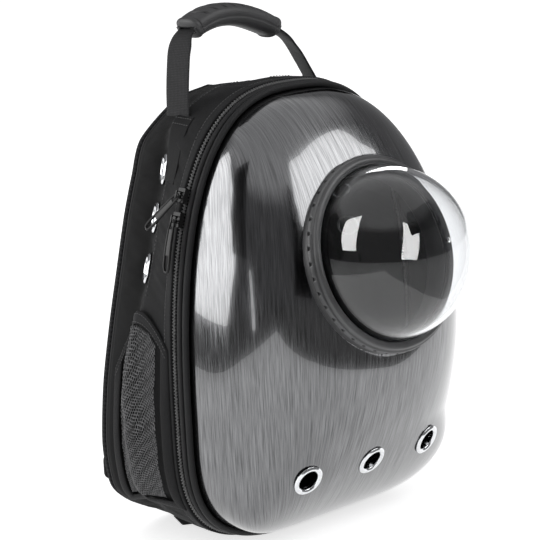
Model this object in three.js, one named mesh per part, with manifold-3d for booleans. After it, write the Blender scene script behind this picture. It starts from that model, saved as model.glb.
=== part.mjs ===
// Pet carrier backpack: a hard moulded front shell with a clear bubble window, zipped round its rim
// to a soft fabric body with a net pocket on each side, a carry handle and two padded shoulder straps.
// Millimetres, +Z up, front facing -Y. Lengths along Y are counted from the rim of the hard shell,
// and the last lines move the whole object so that its origin is the middle of the base.

import * as THREE from "three";
import { mergeVertices } from "three/addons/utils/BufferGeometryUtils.js";
import Module from "manifold-3d";

const wasm = await Module();
wasm.setup();

// Overall width and height of the fabric body, which set the hard shell that closes it
const bodyWidth = 306;
const bodyHeight = 415;
const shellSideMargin = 8;
const shellTopMargin = 13;

// Rim outline and hard shell
const shellWidth = bodyWidth - 2 * shellSideMargin;
const shellHeight = bodyHeight - shellTopMargin;
const shellBottom = 8;
const shellWidestHeight = 112.6;
const shellDepth = 114.6;
const shellDeepest = 217;
const shellWall = 2;
const rimCurveUpper = 2.68;
const rimCurveLower = 3.2;

// The arch of the shell's middle line, and the curve of its level sections, low and high on the shell
const archLow = { root: 2.42, taper: 0.29 };
const archHigh = { root: 2.7, taper: 0.33 };
const sectionLow = 6.3;
const sectionHigh = 2.7;
const sectionCrown = 0.02;
const ringSpacing = 3;

// Bands round the rim
const edgeBindingThick = 6.4;
const tapeWide = 6;
const tapeThick = 4.5;
const coilThick = 4.2;
const bandGap = 0.4;

// Fabric body
const ridgeBack = 61;
const valleyBack = 84;
const bodyBack = 115;
const clothThick = 2;
const foldDepth = 11;
const pipingThick = 4;

// Back panel and shoulder straps
const panelThick = 8;
const panelEdge = 3;
const strapWide = 58;
const strapThick = 10;
const strapSpread = 40;
const strapTop = 362;
const strapStandOff = 14;
const strapLow = 150;
const strapWebWide = 25;
const strapWebThick = 2;
const buckleWide = 36;
const buckleHigh = 26;
const buckleThick = 7.8;
const buckleWall = 1.5;
const anchorLow = 62;

// Window
const domeRadius = 78.2;
const domeWall = 3;
const domeHigh = 262.6;
const domeTilt = 15.4;
const domeSink = 4.4;
const ringOuter = 89;
const ringWall = 3.4;
const ringRise = 5;
const ringSkirt = 3.1;
const seatDeep = 24;
const notchCount = 42;
const notchRadius = 1.6;
const runGap = 0.4;

// Eyelets
const eyeletRadius = 15;
const eyeletHole = 9.5;
const eyeletRise = 2.2;
const eyeletBarrel = 1.8;
const eyeletSpacing = 77;
const eyeletHigh = 67;
const sideEyeletBack = 71;

// Net pockets
const netThick = 1.5;
const netBulge = 18;
const pocketBorder = 0.16;
const pocketMouthGap = 9;

// Handle
const webWide = 31;
const webThick = 2.4;
const gripLong = 108;
const gripWide = 32;
const gripHigh = 21;
const gripSlot = 1.7;
const gripGrooves = 8;
const grooveWide = 4;
const grooveDeep = 3;
const handleRise = 85.4;
const webTwist = 17;
const webInGrip = 0.72;

// Zip sliders
const sliderWide = 9;
const sliderLong = 13;
const sliderThick = 5;
const pullLong = 46;
const pullWide = 9;
const pullWire = 1.7;
const bridgeHigh = 6;
const bridgeThick = 1.4;
const sliderHigh = 330;
const sliderSpacing = 20;

const clearance = 0.3;
const roundSteps = 40;

// Finishes
const finish = (color, roughness, metalness = 0) =>
  new THREE.MeshStandardMaterial({ color, roughness, metalness });
const carrier = new THREE.Group();

function addPiece(name, geometry, material) {
  const mesh = new THREE.Mesh(geometry, material);
  mesh.name = name;
  carrier.add(mesh);
  return mesh;
}

// A closed body from its corner points and faces, turned so that its faces point out.
function closedBody(points, faces) {
  let sixVolumes = 0;
  for (const [a, b, c] of faces) {
    sixVolumes += points[a].dot(new THREE.Vector3().crossVectors(points[b], points[c]));
  }
  const turned = sixVolumes < 0 ? faces.map(([a, b, c]) => [a, c, b]) : faces;
  const geometry = new THREE.BufferGeometry();
  geometry.setAttribute("position", new THREE.Float32BufferAttribute(points.flatMap((p) => p.toArray()), 3));
  geometry.setIndex(turned.flat());
  return geometry;
}

// Loops of equally many points, joined in order. The last loop joins the first one in a ring,
// or each end is closed by a fan from its middle.
function loft(loops, ring = false) {
  const points = loops.flat();
  const count = loops[0].length;
  const faces = [];
  const rows = ring ? loops.length : loops.length - 1;
  for (let i = 0; i < rows; i += 1) {
    const here = i * count;
    const next = ((i + 1) % loops.length) * count;
    for (let j = 0; j < count; j += 1) {
      const k = (j + 1) % count;
      faces.push([here + j, here + k, next + k], [here + j, next + k, next + j]);
    }
  }
  if (!ring) {
    for (const [row, order] of [[0, 1], [loops.length - 1, 0]]) {
      const middle = points.length;
      const sum = loops[row].reduce((total, p) => total.add(p), new THREE.Vector3());
      points.push(sum.divideScalar(count));
      for (let j = 0; j < count; j += 1) {
        const k = (j + 1) % count;
        const start = row * count;
        faces.push(order ? [middle, start + k, start + j] : [middle, start + j, start + k]);
      }
    }
  }
  return closedBody(points, faces);
}

// A thin sheet over a grid of points: its two faces lie on two grids, and its four edges are closed.
function sheet(outer, inner) {
  const rows = outer.length;
  const columns = outer[0].length;
  const points = [...outer.flat(), ...inner.flat()];
  const under = rows * columns;
  const at = (i, j) => i * columns + j;
  const faces = [];
  const quad = (a, b, c, d) => faces.push([a, b, c], [a, c, d]);
  for (let i = 0; i < rows - 1; i += 1) {
    for (let j = 0; j < columns - 1; j += 1) {
      quad(at(i, j), at(i, j + 1), at(i + 1, j + 1), at(i + 1, j));
      quad(under + at(i, j), under + at(i + 1, j), under + at(i + 1, j + 1), under + at(i, j + 1));
    }
  }
  for (let j = 0; j < columns - 1; j += 1) {
    quad(at(0, j + 1), at(0, j), under + at(0, j), under + at(0, j + 1));
    const last = rows - 1;
    quad(at(last, j), at(last, j + 1), under + at(last, j + 1), under + at(last, j));
  }
  for (let i = 0; i < rows - 1; i += 1) {
    quad(at(i, 0), at(i + 1, 0), under + at(i + 1, 0), under + at(i, 0));
    const last = columns - 1;
    quad(at(i + 1, last), at(i, last), under + at(i, last), under + at(i + 1, last));
  }
  return closedBody(points, faces);
}

function solidOf(geometry) {
  const bare = geometry.clone();
  bare.deleteAttribute("normal");
  bare.deleteAttribute("uv");
  const merged = mergeVertices(bare, 1e-4);
  return new wasm.Manifold(
    new wasm.Mesh({
      numProp: 3,
      vertProperties: new Float32Array(merged.attributes.position.array),
      triVerts: new Uint32Array(merged.index.array),
    }),
  );
}

function geometryOf(solid) {
  const mesh = solid.getMesh();
  const geometry = new THREE.BufferGeometry();
  geometry.setAttribute("position", new THREE.BufferAttribute(new Float32Array(mesh.vertProperties), 3));
  geometry.setIndex(new THREE.BufferAttribute(new Uint32Array(mesh.triVerts), 1));
  return geometry;
}

// A geometry whose own Y axis is laid along a direction through a point.
function placedAlong(geometry, point, direction) {
  const turn = new THREE.Quaternion().setFromUnitVectors(new THREE.Vector3(0, 1, 0), direction);
  return geometry.clone().applyMatrix4(new THREE.Matrix4().compose(point, turn, new THREE.Vector3(1, 1, 1)));
}

function drill(radius, point, direction, length, steps) {
  return solidOf(placedAlong(new THREE.CylinderGeometry(radius, radius, length, steps), point, direction));
}

// Rim outline: a superellipse with one half height above its widest place and another below it.
function rimPoint(angle, grow = 0) {
  const cosine = Math.cos(angle);
  const sine = Math.sin(angle);
  const upper = sine >= 0;
  const curve = upper ? rimCurveUpper : rimCurveLower;
  const rise = (upper ? shellHeight - shellWidestHeight : shellWidestHeight) + grow;
  const x = Math.sign(cosine) * (shellWidth / 2 + grow) * Math.abs(cosine) ** (2 / curve);
  const z = shellBottom + shellWidestHeight + Math.sign(sine) * rise * Math.abs(sine) ** (2 / curve);
  return { x, z };
}

// Depth of the shell behind a place on its front: each level section is half a superellipse, as wide
// as the rim there, and the depth at its middle follows an arch from the foot to the crown.
function shellDepthAt(x, z, inset = 0) {
  const top = shellBottom + shellHeight;
  const low = z < shellDeepest;
  const span = low ? shellDeepest - shellBottom : top - shellDeepest;
  const share = Math.min(Math.abs(z - shellDeepest) / span, 1);
  const { root, taper } = low ? archLow : archHigh;
  const arch = (1 - share ** 2) ** (1 / root) * (1 - taper * share ** 2);
  const middle = shellBottom + shellWidestHeight;
  const curve = z >= middle ? rimCurveUpper : rimCurveLower;
  const rise = z >= middle ? shellHeight - shellWidestHeight : shellWidestHeight;
  const level = Math.min(Math.abs(z - middle) / rise, 1);
  const half = (shellWidth / 2) * (1 - level ** curve) ** (1 / curve);
  const across = half > 0 ? Math.min(Math.abs(x) / half, 1) : 1;
  const up = THREE.MathUtils.smoothstep(z / shellHeight, 0.02, 0.25);
  const section = THREE.MathUtils.lerp(sectionLow, sectionHigh, up);
  return (shellDepth - inset) * arch * (1 - across ** section) ** (1 / section) * (1 - sectionCrown * across ** 2);
}

function shellNormalAt(x, z) {
  const step = 1;
  const slopeX = (shellDepthAt(x + step, z) - shellDepthAt(x - step, z)) / (2 * step);
  const slopeZ = (shellDepthAt(x, z + step) - shellDepthAt(x, z - step)) / (2 * step);
  return new THREE.Vector3(-slopeX, -1, -slopeZ).normalize();
}

// Loops of the shell's outer face, or of a face set in from it, from the rim towards the middle
const shellRings = 8;
const shellMiddle = shellBottom + shellHeight / 2;
function shellLoops(inset) {
  const inShare = 1 - (2 * inset) / shellWidth;
  const loops = [];
  for (let k = 0; k < shellRings; k += 1) {
    const share = Math.cos((k / shellRings) * (Math.PI / 2)) ** (2 / ringSpacing);
    const loop = [];
    for (let j = 0; j < roundSteps; j += 1) {
      const rim = rimPoint((j / roundSteps) * 2 * Math.PI);
      const x = rim.x * share;
      const z = shellMiddle + (rim.z - shellMiddle) * share;
      const depth = k === 0 ? 0 : shellDepthAt(x, z, inset);
      loop.push(new THREE.Vector3(x * inShare, -depth, shellMiddle + (z - shellMiddle) * inShare));
    }
    loops.push(loop);
  }
  return loops;
}

// The shell's wall between an outer and an inner face
function shellWallSolid(outside, inside) {
  const outer = shellLoops(outside);
  const inner = shellLoops(inside).reverse();
  const points = [...outer, ...inner].flat();
  const faces = [];
  const joinLoops = (a, b) => {
    for (let j = 0; j < roundSteps; j += 1) {
      const k = (j + 1) % roundSteps;
      faces.push([a * roundSteps + j, a * roundSteps + k, b * roundSteps + k]);
      faces.push([a * roundSteps + j, b * roundSteps + k, b * roundSteps + j]);
    }
  };
  for (let i = 0; i < 2 * shellRings; i += 1) {
    if (i !== shellRings - 1) joinLoops(i, (i + 1) % (2 * shellRings));
  }
  const outerPole = points.length;
  points.push(new THREE.Vector3(0, -shellDepthAt(0, shellMiddle, outside), shellMiddle));
  points.push(new THREE.Vector3(0, -shellDepthAt(0, shellMiddle, inside), shellMiddle));
  for (let j = 0; j < roundSteps; j += 1) {
    const k = (j + 1) % roundSteps;
    const outerRow = (shellRings - 1) * roundSteps;
    const innerRow = shellRings * roundSteps;
    faces.push([outerRow + j, outerRow + k, outerPole], [innerRow + k, innerRow + j, outerPole + 1]);
  }
  return solidOf(closedBody(points, faces));
}

// Window axis, tilted up, and the middle of the bubble's base
const windowAxis = new THREE.Vector3(0, -Math.cos(THREE.MathUtils.degToRad(domeTilt)),
  Math.sin(THREE.MathUtils.degToRad(domeTilt)));
const windowZ = shellBottom + domeHigh;
const windowPoint = new THREE.Vector3(0, -(shellDepthAt(0, windowZ) - domeSink), windowZ);
const seatOuter = ringOuter - ringWall - runGap;
const seatInner = domeRadius + runGap - domeWall - 1;

// Hard front shell, hollow and open at the rim, with its window hole and three vent holes
const frontEyelets = [-1, 0, 1].map((side) => {
  const x = side * eyeletSpacing;
  const z = shellBottom + eyeletHigh;
  return { x, z, point: new THREE.Vector3(x, -shellDepthAt(x, z), z), axis: shellNormalAt(x, z) };
});
const eyeletSteps = 10;
const ringSteps = 42;
const ventHole = eyeletHole + eyeletBarrel + clearance;
{
  let shell = shellWallSolid(0, shellWall);
  shell = shell.subtract(drill(seatOuter + clearance, windowPoint, windowAxis, 4 * seatDeep, ringSteps));
  for (const eyelet of frontEyelets) {
    shell = shell.subtract(drill(ventHole, eyelet.point, eyelet.axis, 10 * shellWall, eyeletSteps));
  }
  addPiece("front_shell", geometryOf(shell), finish(0x4b4d51, 0.12, 0.45));
}

// A band that runs round the rim. Its section is given as steps out from the rim and back along Y.
function rimBand(section) {
  const loops = [];
  for (let j = 0; j < roundSteps; j += 1) {
    const angle = (j / roundSteps) * 2 * Math.PI;
    loops.push(section.map(([out, back]) => {
      const place = rimPoint(angle, out);
      return new THREE.Vector3(place.x, back, place.z);
    }));
  }
  return loft(loops, true);
}

// Points of a circle or oval section
function ovalSection(out, back, halfOut, halfBack, count) {
  const section = [];
  for (let j = 0; j < count; j += 1) {
    const angle = (j / count) * 2 * Math.PI;
    section.push([out + halfOut * Math.cos(angle), back + halfBack * Math.sin(angle)]);
  }
  return section;
}

// Edge binding, zip tape and zip coil, one behind the other
const bindingBack = 1.2;
const tapeFront = bindingBack + edgeBindingThick / 2 + bandGap;
const coilMiddle = tapeFront + tapeWide + bandGap + coilThick / 2;
const bodyFront = coilMiddle + coilThick / 2 + bandGap;
const rimReach = shellBottom;
{
  const bindingOut = clearance + edgeBindingThick / 2;
  const binding = ovalSection(bindingOut, bindingBack, edgeBindingThick / 2, edgeBindingThick / 2, 6);
  addPiece("shell_edge_binding", rimBand(binding), finish(0x17181a, 0.75));
  const tapeOut = rimReach - 1;
  const tape = [
    [tapeOut - tapeThick, tapeFront],
    [tapeOut - tapeThick / 4, tapeFront],
    [tapeOut, tapeFront + tapeWide / 2],
    [tapeOut - tapeThick / 4, tapeFront + tapeWide],
    [tapeOut - tapeThick, tapeFront + tapeWide],
  ];
  addPiece("zip_tape", rimBand(tape), finish(0x141517, 0.85));
  const coilOut = rimReach - coilThick / 2 - 1;
  const coil = ovalSection(coilOut, coilMiddle, coilThick / 2, coilThick / 2, 5);
  addPiece("zip_coil", rimBand(coil), finish(0x1b1c1e, 0.5));
}

// Fabric body. Each row is a place on half of its outline, from the middle of the base up to the
// middle of the top. The rim angle is in degrees; widths are shares of half the body's width,
// heights are shares of its height, and the fold is a share of the fold's depth.
const outline = [
  { place: "base middle", rim: -90, ridgeX: 0, ridgeZ: 0, backX: 0, backZ: 0, fold: 0 },
  { place: "base side", rim: -77, ridgeX: 0.392, ridgeZ: 0, backX: 0.366, backZ: 0, fold: 0 },
  { place: "base corner", rim: -55, ridgeX: 0.706, ridgeZ: 0.035, backX: 0.64, backZ: 0.031, fold: 0.2 },
  { place: "low corner", rim: -34, ridgeX: 0.889, ridgeZ: 0.09, backX: 0.83, backZ: 0.064, fold: 0.6 },
  { place: "pocket foot", rim: -18.4, ridgeX: 0.98, ridgeZ: 0.149, backX: 0.96, backZ: 0.113, fold: 1 },
  { place: "pocket low", rim: -2.4, ridgeX: 1, ridgeZ: 0.25, backX: 1, backZ: 0.212, fold: 1 },
  { place: "pocket middle", rim: 3.2, ridgeX: 1, ridgeZ: 0.373, backX: 0.962, backZ: 0.349, fold: 1 },
  { place: "pocket mouth", rim: 12, ridgeX: 0.98, ridgeZ: 0.51, backX: 0.885, backZ: 0.481, fold: 1 },
  { place: "low eyelet", rim: 21.5, ridgeX: 0.869, ridgeZ: 0.627, backX: 0.802, backZ: 0.601, fold: 1 },
  { place: "middle eyelet", rim: 31.5, ridgeX: 0.784, ridgeZ: 0.731, backX: 0.716, backZ: 0.721, fold: 1 },
  { place: "high eyelet", rim: 43.3, ridgeX: 0.693, ridgeZ: 0.837, backX: 0.64, backZ: 0.805, fold: 1 },
  { place: "handle foot", rim: 59, ridgeX: 0.621, ridgeZ: 0.9375, backX: 0.55, backZ: 0.885, fold: 0.8 },
  { place: "top side", rim: 78.5, ridgeX: 0.3, ridgeZ: 0.995, backX: 0.261, backZ: 0.9615, fold: 0.2 },
  { place: "top middle", rim: 90, ridgeX: 0, ridgeZ: 1, backX: 0, backZ: 0.983, fold: 0 },
];
const outlineSpans = outline.length - 1;

const curveOf = (wide, high) => new THREE.CatmullRomCurve3(
  outline.map((row) => new THREE.Vector3((row[wide] * bodyWidth) / 2, 0, row[high] * bodyHeight)),
  false, "catmullrom", 0.4);
const ridgeCurve = curveOf("ridgeX", "ridgeZ");
const backCurve = curveOf("backX", "backZ");

function tableValue(name, along) {
  const place = along * outlineSpans;
  const row = Math.min(Math.floor(place), outline.length - 2);
  return THREE.MathUtils.lerp(outline[row][name], outline[row + 1][name], place - row);
}

// A point on the body's outer face: along goes from the middle of the base, 0, to the middle of the
// top, 1, and back is the distance behind the rim.
const bodyStations = [bodyFront, (bodyFront + ridgeBack) / 2, ridgeBack, valleyBack, bodyBack];
function bodyPoint(side, along, back) {
  const angle = THREE.MathUtils.degToRad(tableValue("rim", along));
  const rim = rimPoint(angle, rimReach);
  const front = new THREE.Vector3(rim.x, bodyFront, Math.max(rim.z, 0));
  const ridge = ridgeCurve.getPoint(along).setY(ridgeBack);
  const rear = backCurve.getPoint(along).setY(bodyBack);
  const fold = tableValue("fold", along) * foldDepth;
  const valleyShare = (valleyBack - ridgeBack) / (bodyBack - ridgeBack);
  const valley = new THREE.Vector3().lerpVectors(ridge, rear, valleyShare);
  valley.x = Math.max(valley.x - fold, 0);
  const spans = [[front, ridge], [ridge, valley], [valley, rear]];
  const span = spans.find(([, far]) => back <= far.y) ?? spans[2];
  const share = (back - span[0].y) / (span[1].y - span[0].y);
  const point = new THREE.Vector3().lerpVectors(span[0], span[1], share);
  point.x = Math.max(point.x, 0) * side;
  point.z = Math.max(point.z, 0);
  return point;
}

// The same point moved out of the body by a distance, square to its face.
function bodyPointOut(side, along, back, out) {
  const step = 0.01;
  const low = bodyPoint(side, Math.max(along - step, 0), back);
  const high = bodyPoint(side, Math.min(along + step, 1), back);
  const reach = 2;
  const near = bodyPoint(side, along, Math.max(back - reach, bodyFront));
  const far = bodyPoint(side, along, Math.min(back + reach, bodyBack));
  const normal = new THREE.Vector3().crossVectors(high.sub(low), far.sub(near)).normalize();
  if (normal.x * side < 0) normal.negate();
  return bodyPoint(side, along, back).addScaledVector(normal, out);
}

function bodyLoop(back, inset) {
  const half = 18;
  const loop = [];
  for (let j = 0; j < 2 * half; j += 1) {
    const side = j < half ? 1 : -1;
    const along = j < half ? j / half : (2 * half - j) / half;
    loop.push(bodyPoint(side, along, back));
  }
  if (inset === 0) return loop;
  return loop.map((point, j) => {
    const before = loop[(j + loop.length - 1) % loop.length];
    const after = loop[(j + 1) % loop.length];
    const along = new THREE.Vector3().subVectors(after, before).setY(0).normalize();
    return new THREE.Vector3(point.x - along.z * inset, point.y, point.z + along.x * inset);
  });
}

const sideEyelets = [];
for (const [name, sideName] of [[1, "right"], [-1, "left"]]) {
  for (const [row, level] of [[8, "low"], [9, "middle"], [10, "high"]]) {
    const along = row / outlineSpans;
    const point = bodyPoint(name, along, sideEyeletBack);
    const axis = bodyPointOut(name, along, sideEyeletBack, 1).sub(point).normalize();
    sideEyelets.push({ name: `side_eyelet_${sideName}_${level}`, point, axis });
  }
}
{
  const outer = bodyStations.map((back) => bodyLoop(back, 0));
  const inner = bodyStations.map((back) => bodyLoop(back, clothThick));
  let body = solidOf(loft([...outer, ...inner.reverse()], true));
  for (const eyelet of sideEyelets) {
    const { point, axis } = eyelet;
    const seat = point.clone().addScaledVector(axis, clearance + 2 * eyeletRise);
    body = body.subtract(drill(ventHole, point, axis, 8 * clothThick, eyeletSteps));
    body = body.subtract(drill(eyeletRadius + clearance, seat, axis, 4 * eyeletRise, eyeletSteps));
  }
  addPiece("fabric_body", geometryOf(body), finish(0x141416, 0.9));
}

// Piping behind the body's edge, and the padded back panel behind it, with a flat face
const pipingMiddle = bodyBack + clearance + pipingThick / 2;
const panelFront = pipingMiddle + pipingThick / 2 + clearance;
const panelBack = panelFront + panelThick;
{
  const rimLoop = (back, inset) => bodyLoop(bodyBack, inset).map((point) => point.clone().setY(back));
  const section = ovalSection(-pipingThick / 2, pipingMiddle, pipingThick / 2, pipingThick / 2, 6);
  const rings = section.map(([out, back]) => rimLoop(back, -out));
  addPiece("back_piping", loft(rings, true), finish(0x101012, 0.8));
  addPiece("back_panel", loft([
    rimLoop(panelFront, 0),
    rimLoop(panelFront + panelThick * 0.6, panelEdge / 4),
    rimLoop(panelBack, panelEdge),
  ]), finish(0x18181a, 0.95));
}

// Turned rings and the bubble: a closed profile of radius and height above the base plane, spun
// round the window's axis.
function spun(profile, point, axis, steps) {
  const closed = [...profile, profile[0]].map(([radius, high]) => new THREE.Vector2(radius, high));
  return placedAlong(new THREE.LatheGeometry(closed, steps), point, axis);
}

// Clear bubble: half a sphere with an even wall, open towards the cabin
const arcSteps = 6;
const domeSteps = 28;
{
  const outer = [];
  for (let i = 0; i <= arcSteps; i += 1) {
    const angle = (i / arcSteps) * (Math.PI / 2);
    outer.push([i === arcSteps ? 0 : domeRadius * Math.cos(angle), domeRadius * Math.sin(angle)]);
  }
  const inShare = 1 - domeWall / domeRadius;
  const inner = outer.map(([radius, high]) => [radius * inShare, high * inShare]).reverse();
  addPiece("window_dome", geometryOf(solidOf(spun([...outer, ...inner], windowPoint, windowAxis, domeSteps))),
    finish(0x9aa0a8, 0.05));
}

// Ring that holds the bubble, with grip notches round its foot
{
  const lipInner = domeRadius + runGap;
  let ring = solidOf(spun([
    [ringOuter - ringWall, -ringSkirt],
    [ringOuter, -ringSkirt],
    [ringOuter - 3.5, ringRise * 0.75],
    [lipInner + 3, ringRise],
    [lipInner, ringRise * 0.6],
    [lipInner, 0],
    [ringOuter - ringWall, 0],
  ], windowPoint, windowAxis, ringSteps));
  for (let i = 0; i < notchCount; i += 1) {
    const angle = (i / notchCount) * 2 * Math.PI;
    const notch = new THREE.BoxGeometry(notchRadius, notchRadius * 2, notchRadius * 2);
    notch.rotateX(Math.PI / 4);
    notch.translate(ringOuter, -ringSkirt, 0);
    notch.rotateY(angle + Math.PI / ringSteps);
    ring = ring.subtract(solidOf(placedAlong(notch, windowPoint, windowAxis)));
  }
  addPiece("window_ring", geometryOf(ring), finish(0x1d1e20, 0.55));
}

// Fixed seat under the ring: a spigot through the shell, with a collar whose foot follows its face
const collarOuter = ringOuter - 1;
{
  const sideways = new THREE.Vector3(1, 0, 0);
  const upwards = new THREE.Vector3().crossVectors(sideways, windowAxis);
  const pointAt = (angle, radius, high) => windowPoint.clone()
    .addScaledVector(sideways, radius * Math.cos(angle))
    .addScaledVector(upwards, radius * Math.sin(angle))
    .addScaledVector(windowAxis, high);
  const shellHighAt = (angle, radius) => {
    let below = -seatDeep;
    let above = 0;
    for (let i = 0; i < 30; i += 1) {
      const high = (below + above) / 2;
      const point = pointAt(angle, radius, high);
      if (-point.y < shellDepthAt(point.x, point.z)) below = high;
      else above = high;
    }
    return above;
  };
  const loops = [];
  for (let i = 0; i < ringSteps; i += 1) {
    const angle = ((i + 0.5) / ringSteps) * 2 * Math.PI;
    loops.push([
      pointAt(angle, seatInner, -seatDeep),
      pointAt(angle, seatOuter, -seatDeep),
      pointAt(angle, seatOuter, shellHighAt(angle, seatOuter) + clearance),
      pointAt(angle, collarOuter, shellHighAt(angle, collarOuter) + clearance),
      pointAt(angle, collarOuter, -ringSkirt - runGap),
      pointAt(angle, seatOuter, -ringSkirt - runGap),
      pointAt(angle, seatOuter, -clearance),
      pointAt(angle, seatInner, -clearance),
    ]);
  }
  addPiece("window_seat", loft(loops, true), finish(0x18191b, 0.6));
}

// Eyelets: a rounded flange outside and a barrel through the wall
function eyeletGeometry(point, axis, through) {
  const rim = eyeletHole + eyeletBarrel;
  const flange = 2 * clearance;
  return geometryOf(solidOf(spun([
    [eyeletHole, -through],
    [rim, -through],
    [rim, flange],
    [eyeletRadius, flange],
    [(eyeletRadius + eyeletHole) / 2, eyeletRise],
    [eyeletHole, eyeletRise / 2],
  ], point, axis, eyeletSteps)));
}
const chrome = finish(0xd9dadc, 0.12, 1);
frontEyelets.forEach((eyelet, i) => {
  const name = ["front_eyelet_left", "front_eyelet_middle", "front_eyelet_right"][i];
  addPiece(name, eyeletGeometry(eyelet.point, eyelet.axis, 2 * shellWall), chrome);
});
for (const eyelet of sideEyelets) {
  addPiece(eyelet.name, eyeletGeometry(eyelet.point, eyelet.axis, 2 * clothThick), chrome);
}

// Net pockets. Across goes from the front edge, 0, over the ridge to the back edge, 1, and up goes
// from the foot, 0, to the bound mouth, 1. The mouth peaks at the ridge.
const pocketFront = bodyFront + 3;
const pocketBackEdge = bodyBack - 4;
const pocketFoot = 3.35 / outlineSpans;
const pocketMouth = 7.25 / outlineSpans;
const pocketPeak = (ridgeBack + sideEyeletBack) / 2;
function pocketPoint(side, across, up, lift) {
  const back = THREE.MathUtils.lerp(pocketFront, pocketBackEdge, across);
  const fromPeak = back < pocketPeak
    ? (pocketPeak - back) / (pocketPeak - pocketFront)
    : (back - pocketPeak) / (pocketBackEdge - pocketPeak);
  const drop = (back < pocketPeak ? 0.5 : 1.1) / outlineSpans;
  const along = THREE.MathUtils.lerp(pocketFoot, pocketMouth - drop * fromPeak ** 1.5, up);
  const acrossShare = Math.max(1 - fromPeak, 0) ** 0.8;
  const full = Math.sin(Math.PI * Math.min(up * 0.9, 0.5) ** 0.8);
  const mouth = THREE.MathUtils.smoothstep(up, 0.6, 1);
  const bulge = THREE.MathUtils.lerp(netBulge, pocketMouthGap, mouth) * acrossShare * full;
  return bodyPointOut(side, along, back, 3 * clearance + bulge + lift);
}
const netColumns = 8;
const netRows = 8;
for (const [side, sideName] of [[1, "right"], [-1, "left"]]) {
  const gridAt = (lift) => {
    const grid = [];
    for (let i = 0; i <= netRows; i += 1) {
      const up = THREE.MathUtils.lerp(pocketBorder, 1 - pocketBorder / 2, i / netRows);
      const row = [];
      for (let j = 0; j <= netColumns; j += 1) {
        const across = THREE.MathUtils.lerp(pocketBorder, 1 - pocketBorder, j / netColumns);
        row.push(pocketPoint(side, across, up, lift));
      }
      grid.push(row);
    }
    return grid;
  };
  addPiece(`pocket_net_${sideName}`, sheet(gridAt(netThick), gridAt(0)), finish(0x26262a, 0.95));
  const gap = 0.03;
  const outerEdge = [[0, 0], [1, 0], [1, 1], [0, 1]];
  const innerEdge = outerEdge.map(([across, up]) => [
    across ? 1 - pocketBorder + gap : pocketBorder - gap,
    up ? 1 - pocketBorder / 2 + gap : pocketBorder - gap,
  ]);
  const between = (edge, k, share) => [0, 1].map((axis) =>
    THREE.MathUtils.lerp(edge[k][axis], edge[(k + 1) % 4][axis], share));
  const loops = [];
  for (let k = 0; k < 4; k += 1) {
    const steps = k % 2 ? netRows : netColumns;
    for (let i = 0; i < steps; i += 1) {
      const [across, up] = between(outerEdge, k, i / steps);
      const [inAcross, inUp] = between(innerEdge, k, i / steps);
      loops.push([
        pocketPoint(side, across, up, 0),
        pocketPoint(side, across, up, netThick * 1.4),
        pocketPoint(side, inAcross, inUp, netThick * 1.4),
        pocketPoint(side, inAcross, inUp, 0),
      ]);
    }
  }
  addPiece(`pocket_binding_${sideName}`, loft(loops, true), finish(0x1a1a1c, 0.9));
}

// Handle: one strap of webbing in the plane of the ridge, sewn in at the body's two upper corners,
// through a moulded grip that has slid towards the left. Route: shares of the distance between the
// middle and a foot, and of the rise above the feet.
const footAlong = 11 / outlineSpans;
const handleFoot = ridgeCurve.getPoint(footAlong);
const footInset = 6;
const footSlope = 0.6;
const route = [
  { wide: -1.01, high: 0 },
  { wide: -1, high: 0.25 },
  { wide: -0.975, high: 0.5 },
  { wide: -0.94, high: 0.7 },
  { wide: -0.85, high: 0.87 },
  { wide: -0.57, high: 0.99 },
  { wide: -0.26, high: 1 },
  { wide: 0.05, high: 0.92 },
  { wide: 0.36, high: 0.77 },
  { wide: 0.58, high: 0.6 },
  { wide: 0.76, high: 0.34 },
  { wide: 0.9, high: 0.12 },
  { wide: 1, high: 0 },
];
const footWide = handleFoot.x - footInset;
const footHigh = handleFoot.z + webThick + 2 * clearance + footSlope;
const handleRoute = new THREE.CatmullRomCurve3(
  route.map(({ wide, high }) => new THREE.Vector3(wide * footWide, ridgeBack, footHigh + high * handleRise)),
  false, "catmullrom", 0.5);
const gripMiddle = 0.478;
const gripHalf = gripLong / handleRoute.getLength() / 2;

// Directions at a share of the handle's route: along it, across its width and square to its face.
function routeFrame(share) {
  const middle = handleRoute.getPointAt(share);
  const along = handleRoute.getTangentAt(share);
  const level = new THREE.Vector3(0, 1, 0);
  const gripEnd = gripMiddle + gripHalf;
  const turn = THREE.MathUtils.smoothstep(share, gripEnd, gripEnd + gripHalf / 2)
    * (1 - THREE.MathUtils.smoothstep(share, 0.92, 1));
  const across = level.applyAxisAngle(along, THREE.MathUtils.degToRad(webTwist * turn));
  const up = new THREE.Vector3().crossVectors(along, across);
  return { middle, along, across, up };
}
{
  const stations = 24;
  const loops = [];
  for (let i = 0; i <= stations; i += 1) {
    const share = i / stations;
    const { middle, across, up } = routeFrame(share);
    const inGrip = 1 - THREE.MathUtils.smoothstep(Math.abs(share - gripMiddle), gripHalf, gripHalf * 1.35);
    const half = (webWide / 2) * THREE.MathUtils.lerp(1, webInGrip, inGrip);
    loops.push([[-1, -1], [1, -1], [1, 1], [-1, 1]].map(([side, face]) => middle.clone()
      .addScaledVector(across, side * half)
      .addScaledVector(up, (face * webThick) / 2)));
  }
  addPiece("handle_webbing", loft(loops), finish(0x161618, 0.85));
}

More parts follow.
